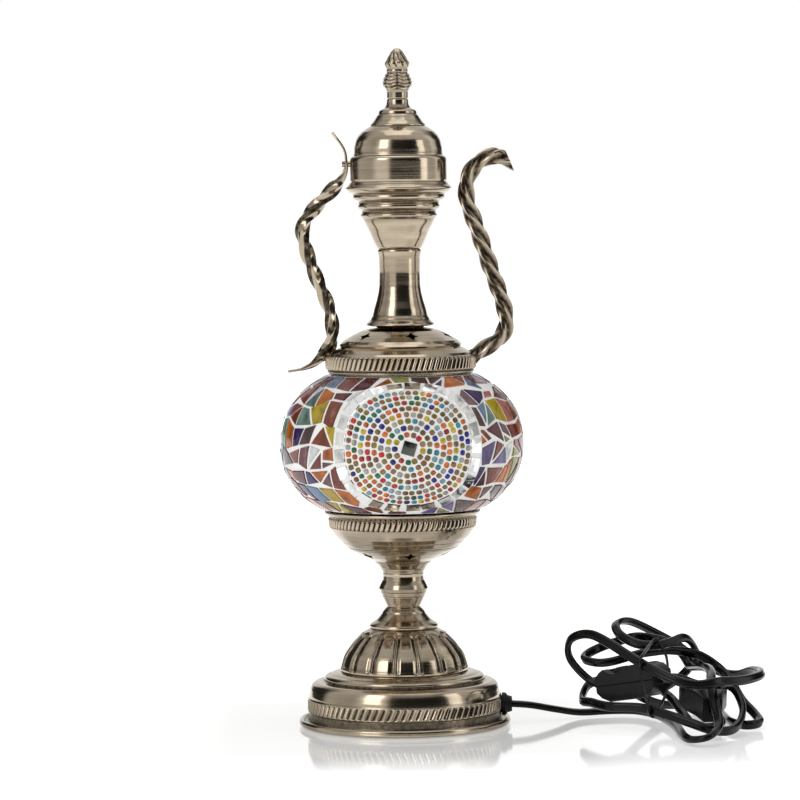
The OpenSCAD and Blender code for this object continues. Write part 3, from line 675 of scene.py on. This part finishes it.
def fin_mod(R, Z, T):
    out = (R > 3.3).astype(float)
    low = smooth(Z, 330.2, 331.4) * (1 - smooth(Z, 339.4, 340.4)) * out
    bud = smooth(Z, 342.0, 343.2) * (1 - smooth(Z, 350.6, 351.8)) * out
    g = 0.5 + 0.5 * np.cos(TAU * (Z - 331.2) / 1.9 + 1.2 * np.cos(T * 6))
    leaf = np.abs(np.cos(3 * T)) ** 0.5
    fl = np.abs(np.cos(5 * T + 0.4 * (Z - 342))) ** 0.6
    R2 = R - low * (0.55 * (1 - g) + 0.6 * (1 - leaf)) - bud * 0.75 * (1 - fl)
    # Painted shade in the grooves of the bulb, between its leaves and in the flutes of the bud.
    rec = low * (0.7 * smooth(1 - g, 0.4, 0.9) + 0.8 * smooth(1 - leaf, 0.3, 0.8)) + bud * smooth(1 - fl, 0.2, 0.7)
    return R2, Z, np.clip(rec, 0, 0.95)


ring("finial_cast", FIN, 300, fin_mod, "finial", "ewer_top",
     lambda a, b: 0.3 if max(a[0], b[0]) > 4 and max(a[1], b[1]) < 352.2 else 0.8, MB, times=1)

# lathe-turned parts, with painted shade in the hollow turns of their profiles
TURNED = {
    "dome_collar": ("base", [[5.3, 50.8], [17.6, 50.8], [18, 51.6], [17.8, 52.7], [16.6, 53.6], [14.3, 55],
                    [12.5, 57], [11.2, 58.6], [10.9, 59.6], [9.6, 61], [8.6, 62], [5.3, 62]]),
    "neck_sleeve": ("ewer_top", [[9.6, 207.6], [12.2, 207.6], [12.5, 208.2], [17, 208.5], [17.9, 209.1],
                    [17.3, 209.9], [15.4, 211.6], [14.9, 213], [14.3, 213.7], [13.5, 217.4], [12.2, 221.5],
                    [11.2, 225.7], [10.7, 229], [10.5, 236], [10.6, 244], [11.2, 246.6], [11.2, 247.8],
                    [10.6, 248.4], [9.7, 248.4], [9.6, 236], [9.8, 229], [10.3, 225.6], [11.3, 221.3],
                    [12.6, 217.2], [13.4, 213.3], [13.6, 211.2], [11.6, 209.2], [9.6, 208.8]]),
    "ewer_cup": ("ewer_top", [[9.7, 248.4], [10.6, 248.4], [11.5, 248.9], [13.5, 253], [15.1, 257], [17.2, 261],
                 [18.4, 264], [19.8, 265.2], [19.9, 266.3], [18.9, 267.5], [19.2, 268.4], [21.1, 269.5],
                 [21.3, 270.8], [20.6, 272.2], [20.8, 273], [23.3, 274], [24, 275.2], [23.5, 276.4],
                 [23.9, 277.1], [25.8, 277.9], [27.5, 279.6], [27.5, 280.3], [25.9, 281.6], [25.1, 283.2],
                 [24.1, 283.2], [24.2, 282], [25.4, 280], [24.7, 278.9], [22.7, 278], [22.2, 277],
                 [22.6, 275.5], [19.7, 274.2], [19.4, 272.4], [19.9, 270.9], [19.6, 270.4], [17.8, 269.3],
                 [17.5, 267.5], [18.3, 266.2], [17.1, 264.9], [16.1, 261.6], [14, 257.5], [12.5, 253.6],
                 [10.8, 250], [9.7, 249.4]]),
    "ewer_band": ("ewer_top", [[24.1, 283.2], [25.1, 283.2], [25.1, 294.8], [24.6, 296], [23.6, 296.6], [19, 296.6],
                  [19, 295.7], [23.2, 295.7], [24.1, 294.6]]),
    "lid_dome": ("ewer_top", [[22.2, 296.6], [23.2, 296.6], [23.2, 297.4], [22.9, 298], [22.9, 300.6], [22.4, 302.7],
                 [21.9, 304.8], [20.8, 306.9], [19, 309], [16, 311], [14.3, 312], [3.3, 312],
                 [3.3, 311.1], [14, 311.1], [15.6, 310.1], [18.3, 308.2], [20, 306.2], [21, 304.3],
                 [21.5, 302.4], [21.9, 300.4], [21.9, 298]]),
    "lid_collar": ("ewer_top", [[3.3, 312], [14.3, 312], [14.3, 312.7], [12.6, 314.6], [11.2, 316.6],
                   [10.6, 317.6], [9.8, 318.2], [9.8, 319.6], [9, 320.4], [6.6, 321.4], [5.6, 323.4],
                   [5.5, 326], [3.3, 326]]),
}
for nm, (body, prof) in TURNED.items():
    ring(nm + "_turned", prof, 256, None, nm, body, lambda a, b: 0.7, times=2)


# ------------------------------------------------------------------ twisted handle and spout
HANDLE = [[-34.2, 309], [-31.5, 305.6], [-29, 302], [-27.5, 298.5], [-27, 294.5],
          [-27.1, 290.5], [-28.4, 286.8], [-31.2, 282.8], [-34.6, 279.2], [-38.4, 275.4],
          [-42.4, 271.4], [-46.2, 267.2], [-49.1, 262.8], [-50.3, 258.4], [-49.8, 254.2],
          [-48.8, 250], [-47.6, 245.8], [-46.2, 241.6], [-44.7, 237.4], [-43, 233.2],
          [-41.3, 229], [-39.5, 224.8], [-37.8, 220.6], [-36.5, 216.4], [-35.7, 212.2],
          [-35.4, 208], [-35.5, 203.8], [-36.3, 199.6], [-38.6, 195.6], [-41.8, 192.2],
          [-45.6, 189], [-50.4, 186.8], [-54.6, 185.9], [-58.5, 185.3]]
SPOUT = [[59.3, 293.1], [54.7, 295.1], [50.7, 296], [46.5, 295.3], [42.5, 293.3],
         [39, 290], [36.4, 285.6], [35.2, 281], [35.1, 276.5], [36, 271], [38, 265.5],
         [40.3, 259], [42.7, 252], [45.2, 244.5], [47.9, 236], [50.8, 228], [53.3, 220.5],
         [54.9, 213.5], [54.9, 207.5], [52.7, 202.4], [48.7, 199], [44.4, 196.4], [40.4, 193.9], [36.6, 191.2]]


def ramp1(x, a, b):
    return max(0.0, min(1.0, (x - a) / (b - a)))


def bar(line, n0, f_of, twist_of, radius, flat_of, stretch_of, sharpness):
    C = spline([[x, 0, z] for x, z in line], 9)
    s = np.concatenate([[0], np.cumsum(np.linalg.norm(np.diff(C, axis=0), axis=1))])
    m = 32
    secs, painted_shade_rows = [], []
    for si in s:
        f, tw = f_of(si), twist_of(si)
        w, t = flat_of(si)
        k = stretch_of(si)
        row, rr = [], []
        for j in range(m):
            a = TAU * j / m
            e = (1 - math.cos(4 * a)) / 2
            if sharpness is None:
                d = (a + math.pi / 4) % (math.pi / 2) - math.pi / 4
                r = radius * min(0.96, (0.665 + 0.04 * e) / math.cos(d))
            else:
                r = radius * (0.70 + 0.30 * e ** sharpness)
            tw_a = a + math.radians(tw)
            star = np.array([r * math.cos(tw_a), r * math.sin(tw_a)])
            x, y = math.cos(a), math.sin(a)
            fl = np.array([t / 2 * math.copysign(abs(x) ** 0.6, x), w / 2 * math.copysign(abs(y) ** 0.6, y)])
            p = (1 - f) * fl + f * star
            row.append((p[0] * k, p[1]))
            # Painted shade: on the handle two opposite quarters of the section are darkened, so the faces alternate
            # dark and bright along the twist; on the spout the flute valleys are darkened.
            if sharpness is None:
                rr.append(f * (0.88 if math.cos(2 * (a + math.pi / 4)) > 0.05 or math.cos(2 * (a + math.pi / 4)) < -1 else 0.06))
            else:
                rr.append(f * (1 - e) ** 0.8)
        secs.append(row)
        painted_shade_rows.append(rr)
    V, F = sweep(C, np.array(secs), n0)
    return V, F, np.clip(np.array(painted_shade_rows).ravel() * 1.05, 0, 0.97), s


V, F, rec, s = bar(HANDLE, (1, 0, 0), lambda s: ramp1(s, 18, 32) * (1 - ramp1(s, 130, 144)),
                   lambda s: 720 * ramp1(s, 28, 132), 4.0,
                   lambda s: (3.2 + 3.4 * ramp1(s, 0, 4) - 2.6 * ramp1(s, 158, 163), 1.45), lambda s: 1.0, None)
make("handle_twisted", V, F, MC, "ewer_top", ["handle"], recess=rec, sharp=50)
V, F, rec, s = bar(SPOUT, (0, 0, 1), lambda s: 1.0, lambda s: 45 - 7.2 * s, 4.45,
                   lambda s: (1, 1), lambda s: 1 + 0.3 * (1 - ramp1(s, 0, 12)), 1.5)
C = spline([[x, 0, z] for x, z in SPOUT], 9)
for i, si in enumerate(s):
    w = 1 - ramp1(si, 0, 11)
    if w > 0:
        row = V[i * 32:(i + 1) * 32]
        row[:, 0] -= w * (0.85 * (row[:, 2] - C[i, 2]) + 1.3)
make("spout_twisted", V, F, MC, "ewer_top", ["spout", "spout_bracket"], recess=rec, sharp=50)

# ------------------------------------------------------------------ mosaic globe
GR, GZ, GH = 63.5, 147.5, 44.0
zz = np.linspace(112.9, 183.8, 500)
rr = GR * np.sqrt(1 - np.abs((zz - GZ) / GH) ** 2.3)
arc = np.concatenate([[0], np.cumsum(np.hypot(np.diff(zz), np.diff(rr)))])
arc -= np.interp(GZ, zz, arc)
slopes = np.gradient(rr, zz)


def on_globe(az, t, d):
    """Point on the globe at azimuth az (radians from -Y towards +X), meridian length t, d below the surface."""
    z = np.interp(t, arc, zz)
    r = np.interp(t, arc, rr)
    k = np.interp(t, arc, slopes)
    nr = 1 / np.sqrt(1 + k * k)
    nz = -k * nr
    r, z = r - d * nr, z - d * nz
    return np.stack([r * np.sin(az), -r * np.cos(az), z], -1)


def radius_at(t):
    return np.interp(t, arc, rr)


T_LO, T_HI = arc[0] + 0.5, arc[-1] - 0.5
ts = np.linspace(arc[0], arc[-1], 90)
outer = [on_globe(math.pi / 2, t, 0.62) for t in ts]
inner = [on_globe(math.pi / 2, t, 1.98) for t in ts[::-1]]
prof = np.array([(p[0], p[2]) for p in outer + inner])
V, F, rec = lathe(prof, 288)
grout = make("grout_bed", V, F, GROUT, "base", ["mosaic_skin"], sharp=50)

rng = random.Random(7)


def tint(c, spread=0.12):
    k = 1 + rng.uniform(-spread, spread)
    return [min(1, max(0, x * k * (1 + rng.uniform(-0.05, 0.05)))) for x in c] + [1.0]


class Batch:
    def __init__(self):
        self.V, self.F, self.C, self.E = [], [], [], []
        self.n = 0

    def add(self, V, F, colour, edge):
        self.V.append(V)
        self.F += [tuple(i + self.n for i in f) for f in F]
        self.C += [colour] * len(V)
        self.E += edge
        self.n += len(V)


def area_of(P):
    P = np.asarray(P)
    x, y = P[:, 0], P[:, 1]
    return 0.5 * float(np.sum(x * np.roll(y, -1) - np.roll(x, -1) * y))


def clip_by(P, f):
    """Keeps the part of polygon P where f is positive."""
    out = []
    n = len(P)
    vals = [f(p) for p in P]
    for i in range(n):
        a, b, fa, fb = P[i], P[(i + 1) % n], vals[i], vals[(i + 1) % n]
        if fa >= 0:
            out.append(a)
        if (fa >= 0) != (fb >= 0):
            out.append(a + (b - a) * (fa / (fa - fb)))
    return out


def inset_poly(P, d):
    P = [np.asarray(p, float) for p in P]
    if area_of(P) < 0:
        P = P[::-1]
    out = list(P)
    for i in range(len(P)):
        a, b = P[i], P[(i + 1) % len(P)]
        e = b - a
        L = np.linalg.norm(e)
        if L < 1e-6:
            continue
        n = np.array([-e[1], e[0]]) / L
        out = clip_by(out, lambda p: float(np.dot(p - a, n)) - d)
        if len(out) < 3:
            return []
    clean = []
    for p in out:
        if not clean or np.linalg.norm(p - clean[-1]) > 0.25:
            clean.append(p)
    if len(clean) > 1 and np.linalg.norm(clean[0] - clean[-1]) <= 0.25:
        clean.pop()
    return clean if len(clean) >= 3 and abs(area_of(clean)) > 3.5 else []


def split_edges(P, step=3.2):
    out = []
    for i in range(len(P)):
        a, b = P[i], P[(i + 1) % len(P)]
        k = max(1, int(round(np.linalg.norm(b - a) / step)))
        out += [a + (b - a) * j / k for j in range(k)]
    return out


def tessera(batch, P, az0, colour, top=0.02, gap=0.5, bevel=0.28, flat=0.35):
    """A cut piece of glass. P is in millimetres: x along the parallel, y = meridian length."""
    Q = inset_poly(P, gap)
    if not Q:
        return False
    Q2 = inset_poly(Q, bevel)
    if not Q2 or len(Q2) != len(Q):
        c = np.mean(Q, axis=0)
        Q2 = [c + (q - c) * 0.9 for q in Q]
    A, B = split_edges(Q), None
    c = np.mean(Q, axis=0)
    B = []
    for i in range(len(Q)):
        a, b, a2, b2 = Q[i], Q[(i + 1) % len(Q)], Q2[i], Q2[(i + 1) % len(Q)]
        k = max(1, int(round(np.linalg.norm(b - a) / 3.2)))
        B += [a2 + (b2 - a2) * j / k for j in range(k)]
    m = len(A)
    c2 = np.mean(Q2, axis=0)
    rows = [(A, 1.5), (A, 0.45 + top), (B, top)]
    mid = [b + (c2 - b) * 0.55 for b in B]
    rows.append((mid, top + flat * 0.10))
    pts = []
    for R, d in rows:
        R = np.array(R)
        t = np.clip(R[:, 1], T_LO, T_HI)
        pts.append(on_globe(az0 + R[:, 0] / radius_at(t), t, d))
    V = np.vstack(pts + [on_globe(np.array([az0 + c2[0] / radius_at(c2[1])]), np.array([c2[1]]), top + flat * 0.12),
                         on_globe(np.array([az0 + c[0] / radius_at(c[1])]), np.array([c[1]]), 1.5)])
    F = []
    for k in range(3):
        for j in range(m):
            F.append((k * m + j, k * m + (j + 1) % m, (k + 1) * m + (j + 1) % m, (k + 1) * m + j))
    for j in range(m):
        F.append((3 * m + j, 3 * m + (j + 1) % m, 4 * m))
        F.append(((j + 1) % m, j, 4 * m + 1))
    batch.add(V, F, colour, [1.0] * (2 * m) + [0.5] * m + [0.0] * m + [0.0, 1.0])
    return True


MED_AZ = [math.radians(3.4 + 120 * k) for k in range(3)]
MED_T = float(np.interp(148.4, zz, arc))
R_FREE = 40.9
tiles, mirrors, beads = Batch(), Batch(), Batch()

GLASS = [((0.085, 0.008, 0.014), 13), ((0.16, 0.030, 0.020), 13), ((0.40, 0.105, 0.010), 8), ((0.36, 0.27, 0.015), 11),
         ((0.030, 0.012, 0.085), 9), ((0.105, 0.075, 0.21), 8), ((0.09, 0.15, 0.25), 7), ((0.125, 0.060, 0.065), 12),
         ((0.42, 0.17, 0.13), 5), ((0.12, 0.19, 0.155), 6), ((0.18, 0.045, 0.022), 11), ((0.58, 0.60, 0.60), 5),
         ((0.20, 0.22, 0.045), 7), ((0.075, 0.030, 0.026), 9)]


def pick(table):
    total = sum(w for _, w in table)
    x = rng.uniform(0, total)
    for c, w in table:
        x -= w
        if x <= 0:
            return c
    return table[-1][0]


# irregular cut glass between the medallions
rows = 8
row_t = [T_LO + 0.3 + (T_HI - T_LO - 0.6) * k / rows for k in range(rows + 1)]
phase = [(rng.uniform(0, TAU), rng.uniform(0, TAU), rng.uniform(0, TAU)) for _ in range(rows + 1)]


def edge_t(k, az):
    if k in (0, rows):
        return row_t[k]
    a, b, c = phase[k]
    return row_t[k] + 2.0 * math.sin(4 * az + a) + 1.7 * math.sin(11 * az + b) + 1.1 * math.sin(23 * az + c)


for k in range(rows):
    tm = (row_t[k] + row_t[k + 1]) / 2
    r = float(radius_at(tm))
    n = int(round(TAU * r / 9.8))
    cuts = []
    for i in range(n):
        a = TAU * (i + 0.5 * (k % 2)) / n + rng.uniform(-0.16, 0.16) * TAU / n
        sl = rng.uniform(-0.34, 0.34) * TAU / n
        cuts.append((a - sl, a + sl))
    for i in range(n):
        lo0, hi0 = cuts[i]
        lo1, hi1 = cuts[(i + 1) % n]
        if i == n - 1:
            lo1, hi1 = lo1 + TAU, hi1 + TAU
        mid = (lo0 + hi0 + lo1 + hi1) / 4
        quad = []
        for az, kk in ((lo0, k), (lo1, k), (hi1, k + 1), (hi0, k + 1)):
            t = edge_t(kk, az)
            quad.append(np.array([(az - mid) * float(radius_at(t)), t]))
        parts = [quad]
        u = rng.random()
        if u < 0.26:
            parts = [[quad[0], quad[1], quad[2]], [quad[0], quad[2], quad[3]]]
        elif u < 0.36:
            f = rng.uniform(0.3, 0.7)
            g = rng.uniform(0.25, 0.75)
            p, q = quad[0] + (quad[1] - quad[0]) * f, quad[3] + (quad[2] - quad[3]) * g
            if np.linalg.norm(quad[1] - quad[0]) > 10.5:
                parts = [[quad[0], p, q, quad[3]], [p, quad[1], quad[2], q]]
        elif u < 0.54:
            f = rng.uniform(0.35, 0.65)
            p = quad[0] + (quad[3] - quad[0]) * f
            parts = [[quad[0], quad[1], p], [p, quad[1], quad[2], quad[3]]]
        for P in parts:
            ok = True
            for maz in MED_AZ:
                d = (mid - maz + math.pi) % TAU - math.pi
                if abs(d) > 1.4:
                    continue
                cx = d * 1.0

                def local(p, cx=cx):
                    return np.array([p[0] + cx * float(radius_at(p[1])), p[1] - MED_T])
                c = local(np.mean(P, axis=0))
                L = np.linalg.norm(c)
                if L < R_FREE - 3.0:
                    ok = False
                    break
                if L < R_FREE + 12:
                    nv = c / L
                    P = clip_by(P, lambda p: float(np.dot(local(p), nv)) - R_FREE + 0.02 *
                                float(np.dot(local(p), np.array([-nv[1], nv[0]]))) ** 2)
                    if len(P) < 3:
                        ok = False
                        break
            per = sum(float(np.linalg.norm(P[i] - P[i - 1])) for i in range(len(P)))
            if ok and abs(area_of(P)) > 11 and abs(area_of(P)) / per ** 2 > 0.034:
                tessera(tiles, P, mid, tint(pick(GLASS)), gap=rng.uniform(0.48, 0.8))

# medallions: dark diamond, rings of seed beads, ring of mirror strips
BEADS = [((0.62, 0.14, 0.010), 15), ((0.22, 0.16, 0.015), 15), ((0.27, 0.17, 0.06), 14), ((0.48, 0.012, 0.012), 11),
         ((0.010, 0.014, 0.24), 11), ((0.025, 0.24, 0.34), 12), ((0.006, 0.13, 0.045), 8), ((0.40, 0.38, 0.34), 12),
         ((0.56, 0.40, 0.012), 9), ((0.20, 0.08, 0.022), 9), ((0.22, 0.40, 0.46), 6)]
RINGS = [7.2, 10.8, 14.4, 18.0, 21.6, 25.2, 28.8, 32.2]


def bead(az0, x, y, ang, colour, ln=1.74, wd=1.66, ht=1.4):
    V, F = [], []
    nu, nv = 10, 5
    sx, sy = rng.uniform(0.88, 1.02), rng.uniform(0.92, 1.04)
    ca_, sa_ = math.cos(ang), math.sin(ang)
    for i in range(1, nv):
        ph = math.pi * i / nv
        for j in range(nu):
            th = TAU * j / nu
            cx, sx2 = math.cos(th), math.sin(th)
            u = ln * sx * math.copysign(abs(cx) ** 0.75, cx) * math.sin(ph) ** 0.8
            v = wd * sy * math.copysign(abs(sx2) ** 0.75, sx2) * math.sin(ph) ** 0.8
            V.append((u * ca_ - v * sa_, u * sa_ + v * ca_, ht * math.cos(ph)))
    V += [(0, 0, ht), (0, 0, -ht)]
    top, bot = len(V) - 2, len(V) - 1
    for i in range(nv - 2):
        for j in range(nu):
            j2 = (j + 1) % nu
            F.append((i * nu + j, i * nu + j2, (i + 1) * nu + j2, (i + 1) * nu + j))
    for j in range(nu):
        j2 = (j + 1) % nu
        F.append((top, j2, j))
        F.append((bot, (nv - 2) * nu + j, (nv - 2) * nu + j2))
    V = np.array(V)
    t = MED_T + y + V[:, 1]
    t = np.clip(t, T_LO, T_HI)
    P = on_globe(az0 + (x + V[:, 0]) / radius_at(t), t, np.minimum(1.05 - V[:, 2] * 0.8, 1.85 - 0.02 * V[:, 2]))
    beads.add(P, F, colour, [0.0] * len(V))


for maz in MED_AZ:
    q = 5.0
    a0 = math.radians(28)
    D = [np.array([q * math.cos(a0 + math.pi / 2 * i), MED_T + q * math.sin(a0 + math.pi / 2 * i)]) for i in range(4)]
    tessera(mirrors, D, maz, [0.10, 0.105, 0.09, 1.0], top=0.0, gap=0.1)
    for R in RINGS:
        n = int(round(TAU * R / 3.6))
        off = rng.uniform(0, TAU)
        for i in range(n):
            a = off + TAU * (i + rng.uniform(-0.06, 0.06)) / n
            R2 = R + rng.uniform(-0.15, 0.15)
            bead(maz, R2 * math.cos(a), R2 * math.sin(a), a + math.pi / 2, tint([c * 0.84 for c in pick(BEADS)], 0.25))
    n = 25
    off = rng.uniform(0, TAU / n)
    for i in range(n):
        a = off + TAU * i / n + rng.uniform(-0.02, 0.02)
        half = TAU / n * rng.uniform(0.40, 0.49)
        r0, r1 = 34.3 + rng.uniform(-0.3, 0.3), 40.7 + rng.uniform(-0.8, 0.3)
        P = []
        for rad, da in ((r0, -half * 1.04), (r1, -half * 0.93), (r1, half * 0.93), (r0, half * 1.04)):
            P.append(np.array([rad * math.cos(a + da), MED_T + rad * math.sin(a + da)]))
        P = clip_by(P, lambda p: T_HI - 0.2 - p[1])
        if len(P) >= 3:
            P = clip_by(P, lambda p: p[1] - T_LO - 0.2)
        if len(P) >= 3:
            g = rng.choice([0.92, 0.92, 0.90, 0.86, 0.74, 0.50])
            tessera(mirrors, P, maz, [g, g * 1.0, g * 0.985, 1.0], gap=rng.uniform(0.15, 0.35))

for nm, b, mat in (("cut_glass_tesserae", tiles, TILE), ("mirror_strips", mirrors, MIRROR), ("seed_beads", beads, BEAD)):
    me = make(nm, np.vstack(b.V), b.F, mat, "base", (), sharp=25 if b is not beads else 80,
              tint=b.C, edge=b.E)

# ------------------------------------------------------------------ materials of the CAD parts that stay
slots = {s["node"]: s["material_slot"] for s in frame["record"]["subparts"]}
for n, o in NODES.items():
    if o.hide_render:
        continue
    mat = M.get(slots.get(n), M["black_plastic"])
    if n in ("handle_rivets", "spout_bracket"):
        mat = MC
    if n == "lower_bowl":
        mat = MBOWL
    o.data.materials.clear()
    o.data.materials.append(mat)
for n, w in (("switch_base", 0.0009), ("switch_cover", 0.0009), ("plug_body", 0.0022), ("plug_blades", 0.0003)):
    soften(n, w)

# ------------------------------------------------------------------ floor, light
fl = bpy.data.meshes.new("floor")
fl.from_pydata([(-12, -12, 0), (12, -12, 0), (12, 12, 0), (-12, 12, 0)], [], [(0, 1, 2, 3)])
floor = bpy.data.objects.new("floor", fl)
scene.collection.objects.link(floor)
fm = bpy.data.materials.new("floor")
fm.use_nodes = True
nt = fm.node_tree
nt.nodes.clear()
out = nt.nodes.new("ShaderNodeOutputMaterial")
mixs = nt.nodes.new("ShaderNodeMixShader")
adds = nt.nodes.new("ShaderNodeAddShader")
dif = nt.nodes.new("ShaderNodeBsdfDiffuse")
emi = nt.nodes.new("ShaderNodeEmission")
glo = nt.nodes.new("ShaderNodeBsdfGlossy")
dif.inputs["Color"].default_value = (0.62, 0.62, 0.62, 1)
emi.inputs["Strength"].default_value = 0.82
glo.inputs["Roughness"].default_value = 0.07
fco = nt.nodes.new("ShaderNodeTexCoord")
fsp = nt.nodes.new("ShaderNodeSeparateXYZ")
nt.links.new(fco.outputs["Object"], fsp.inputs[0])
fades = []
for k, a, b, lo, hi in ((1, -0.22, -0.10, 0.0, 0.62), (0, 0.125, 0.075, 0.72, 1.0), (1, 0.16, 0.08, 0.0, 1.0),
                        (0, -0.20, -0.08, 0.0, 1.0), (0, 0.34, 0.22, 0.0, 1.0)):
    f = nt.nodes.new("ShaderNodeMapRange")
    f.interpolation_type = "SMOOTHSTEP"
    f.inputs["From Min"].default_value = a
    f.inputs["From Max"].default_value = b
    f.inputs["To Min"].default_value = lo
    f.inputs["To Max"].default_value = hi
    nt.links.new(fsp.outputs[k], f.inputs["Value"])
    fades.append(f.outputs["Result"])
mirror = fades[0]
for f in fades[1:]:
    fmul = nt.nodes.new("ShaderNodeMath")
    fmul.operation = "MULTIPLY"
    nt.links.new(mirror, fmul.inputs[0])
    nt.links.new(f, fmul.inputs[1])
    mirror = fmul.outputs[0]
nt.links.new(mirror, mixs.inputs[0])
nt.links.new(dif.outputs[0], adds.inputs[0])
nt.links.new(emi.outputs[0], adds.inputs[1])
nt.links.new(adds.outputs[0], mixs.inputs[1])
nt.links.new(glo.outputs[0], mixs.inputs[2])
nt.links.new(mixs.outputs[0], out.inputs[0])
fl.materials.append(fm)

world = bpy.data.worlds.new("studio")
scene.world = world
world.use_nodes = True
wt = world.node_tree
wt.nodes.clear()
wo = wt.nodes.new("ShaderNodeOutputWorld")
tc = wt.nodes.new("ShaderNodeTexCoord")
sp = wt.nodes.new("ShaderNodeSeparateXYZ")
wt.links.new(tc.outputs["Generated"], sp.inputs[0])


def wmath(op, a, b=None):
    n = wt.nodes.new("ShaderNodeMath")
    n.operation = op
    for i, v in enumerate((a, b)):
        if v is None:
            continue
        if isinstance(v, (int, float)):
            n.inputs[i].default_value = v
        else:
            wt.links.new(v, n.inputs[i])
    return n.outputs[0]


neg_y = wmath("MULTIPLY", sp.outputs[1], -1.0)
azim = wmath("ARCTAN2", sp.outputs[0], neg_y)
frac = wmath("ADD", wmath("DIVIDE", azim, TAU), 0.5)
rampn = wt.nodes.new("ShaderNodeValToRGB")
rampn.color_ramp.interpolation = "EASE"
stops = [(0.00, 1.0), (0.05, 0.95), (0.08, 0.04), (0.17, 0.03), (0.205, 0.75), (0.31, 0.60), (0.36, 1.15),
         (0.425, 1.15), (0.455, 0.03), (0.645, 0.02), (0.675, 0.60), (0.76, 0.70), (0.79, 1.25), (0.825, 1.0),
         (0.85, 0.04), (0.92, 0.03), (0.95, 0.95), (1.0, 1.0)]
el = rampn.color_ramp.elements
while len(el) < len(stops):
    el.new(0.5)
for i, (p, v) in enumerate(stops):
    el[i].position = p
    el[i].color = (v, v, v * 0.985, 1)
wt.links.new(frac, rampn.inputs["Fac"])
up = wt.nodes.new("ShaderNodeMapRange")
up.interpolation_type = "SMOOTHSTEP"
up.inputs["From Min"].default_value = 0.45
up.inputs["From Max"].default_value = 0.85
wt.links.new(sp.outputs[2], up.inputs["Value"])
mx = wt.nodes.new("ShaderNodeMixRGB")
wt.links.new(up.outputs[0], mx.inputs[0])
wt.links.new(rampn.outputs[0], mx.inputs[1])
mx.inputs[2].default_value = (0.85, 0.85, 0.85, 1)
bg1 = wt.nodes.new("ShaderNodeBackground")
bg1.inputs["Strength"].default_value = 0.95
wt.links.new(mx.outputs[0], bg1.inputs["Color"])
bg2 = wt.nodes.new("ShaderNodeBackground")
bg2.inputs["Color"].default_value = (1, 1, 1, 1)
bg2.inputs["Strength"].default_value = 1.0
lp = wt.nodes.new("ShaderNodeLightPath")
ms = wt.nodes.new("ShaderNodeMixShader")
wt.links.new(lp.outputs["Is Camera Ray"], ms.inputs[0])
wt.links.new(bg1.outputs[0], ms.inputs[1])
wt.links.new(bg2.outputs[0], ms.inputs[2])
wt.links.new(ms.outputs[0], wo.inputs[0])


def area(name, loc, target, size, power):
    L = bpy.data.lights.new(name, "AREA")
    L.shape = "RECTANGLE"
    L.size, L.size_y = size
    L.energy = power
    o = bpy.data.objects.new(name, L)
    o.location = loc
    o.rotation_euler = (Vector(target) - Vector(loc)).to_track_quat("-Z", "Y").to_euler()
    scene.collection.objects.link(o)
    return o


area("key_left", (-1.1, -1.3, 1.0), (0, 0, 0.17), (0.7, 1.0), 6)
area("fill_right", (1.4, -0.7, 0.6), (0, 0, 0.17), (0.5, 1.0), 2.5)
area("top_soft", (0, 0.1, 1.8), (0, 0, 0.1), (1.2, 1.2), 5)

scene.view_settings.view_transform = "Standard"
scene.view_settings.look = "None"
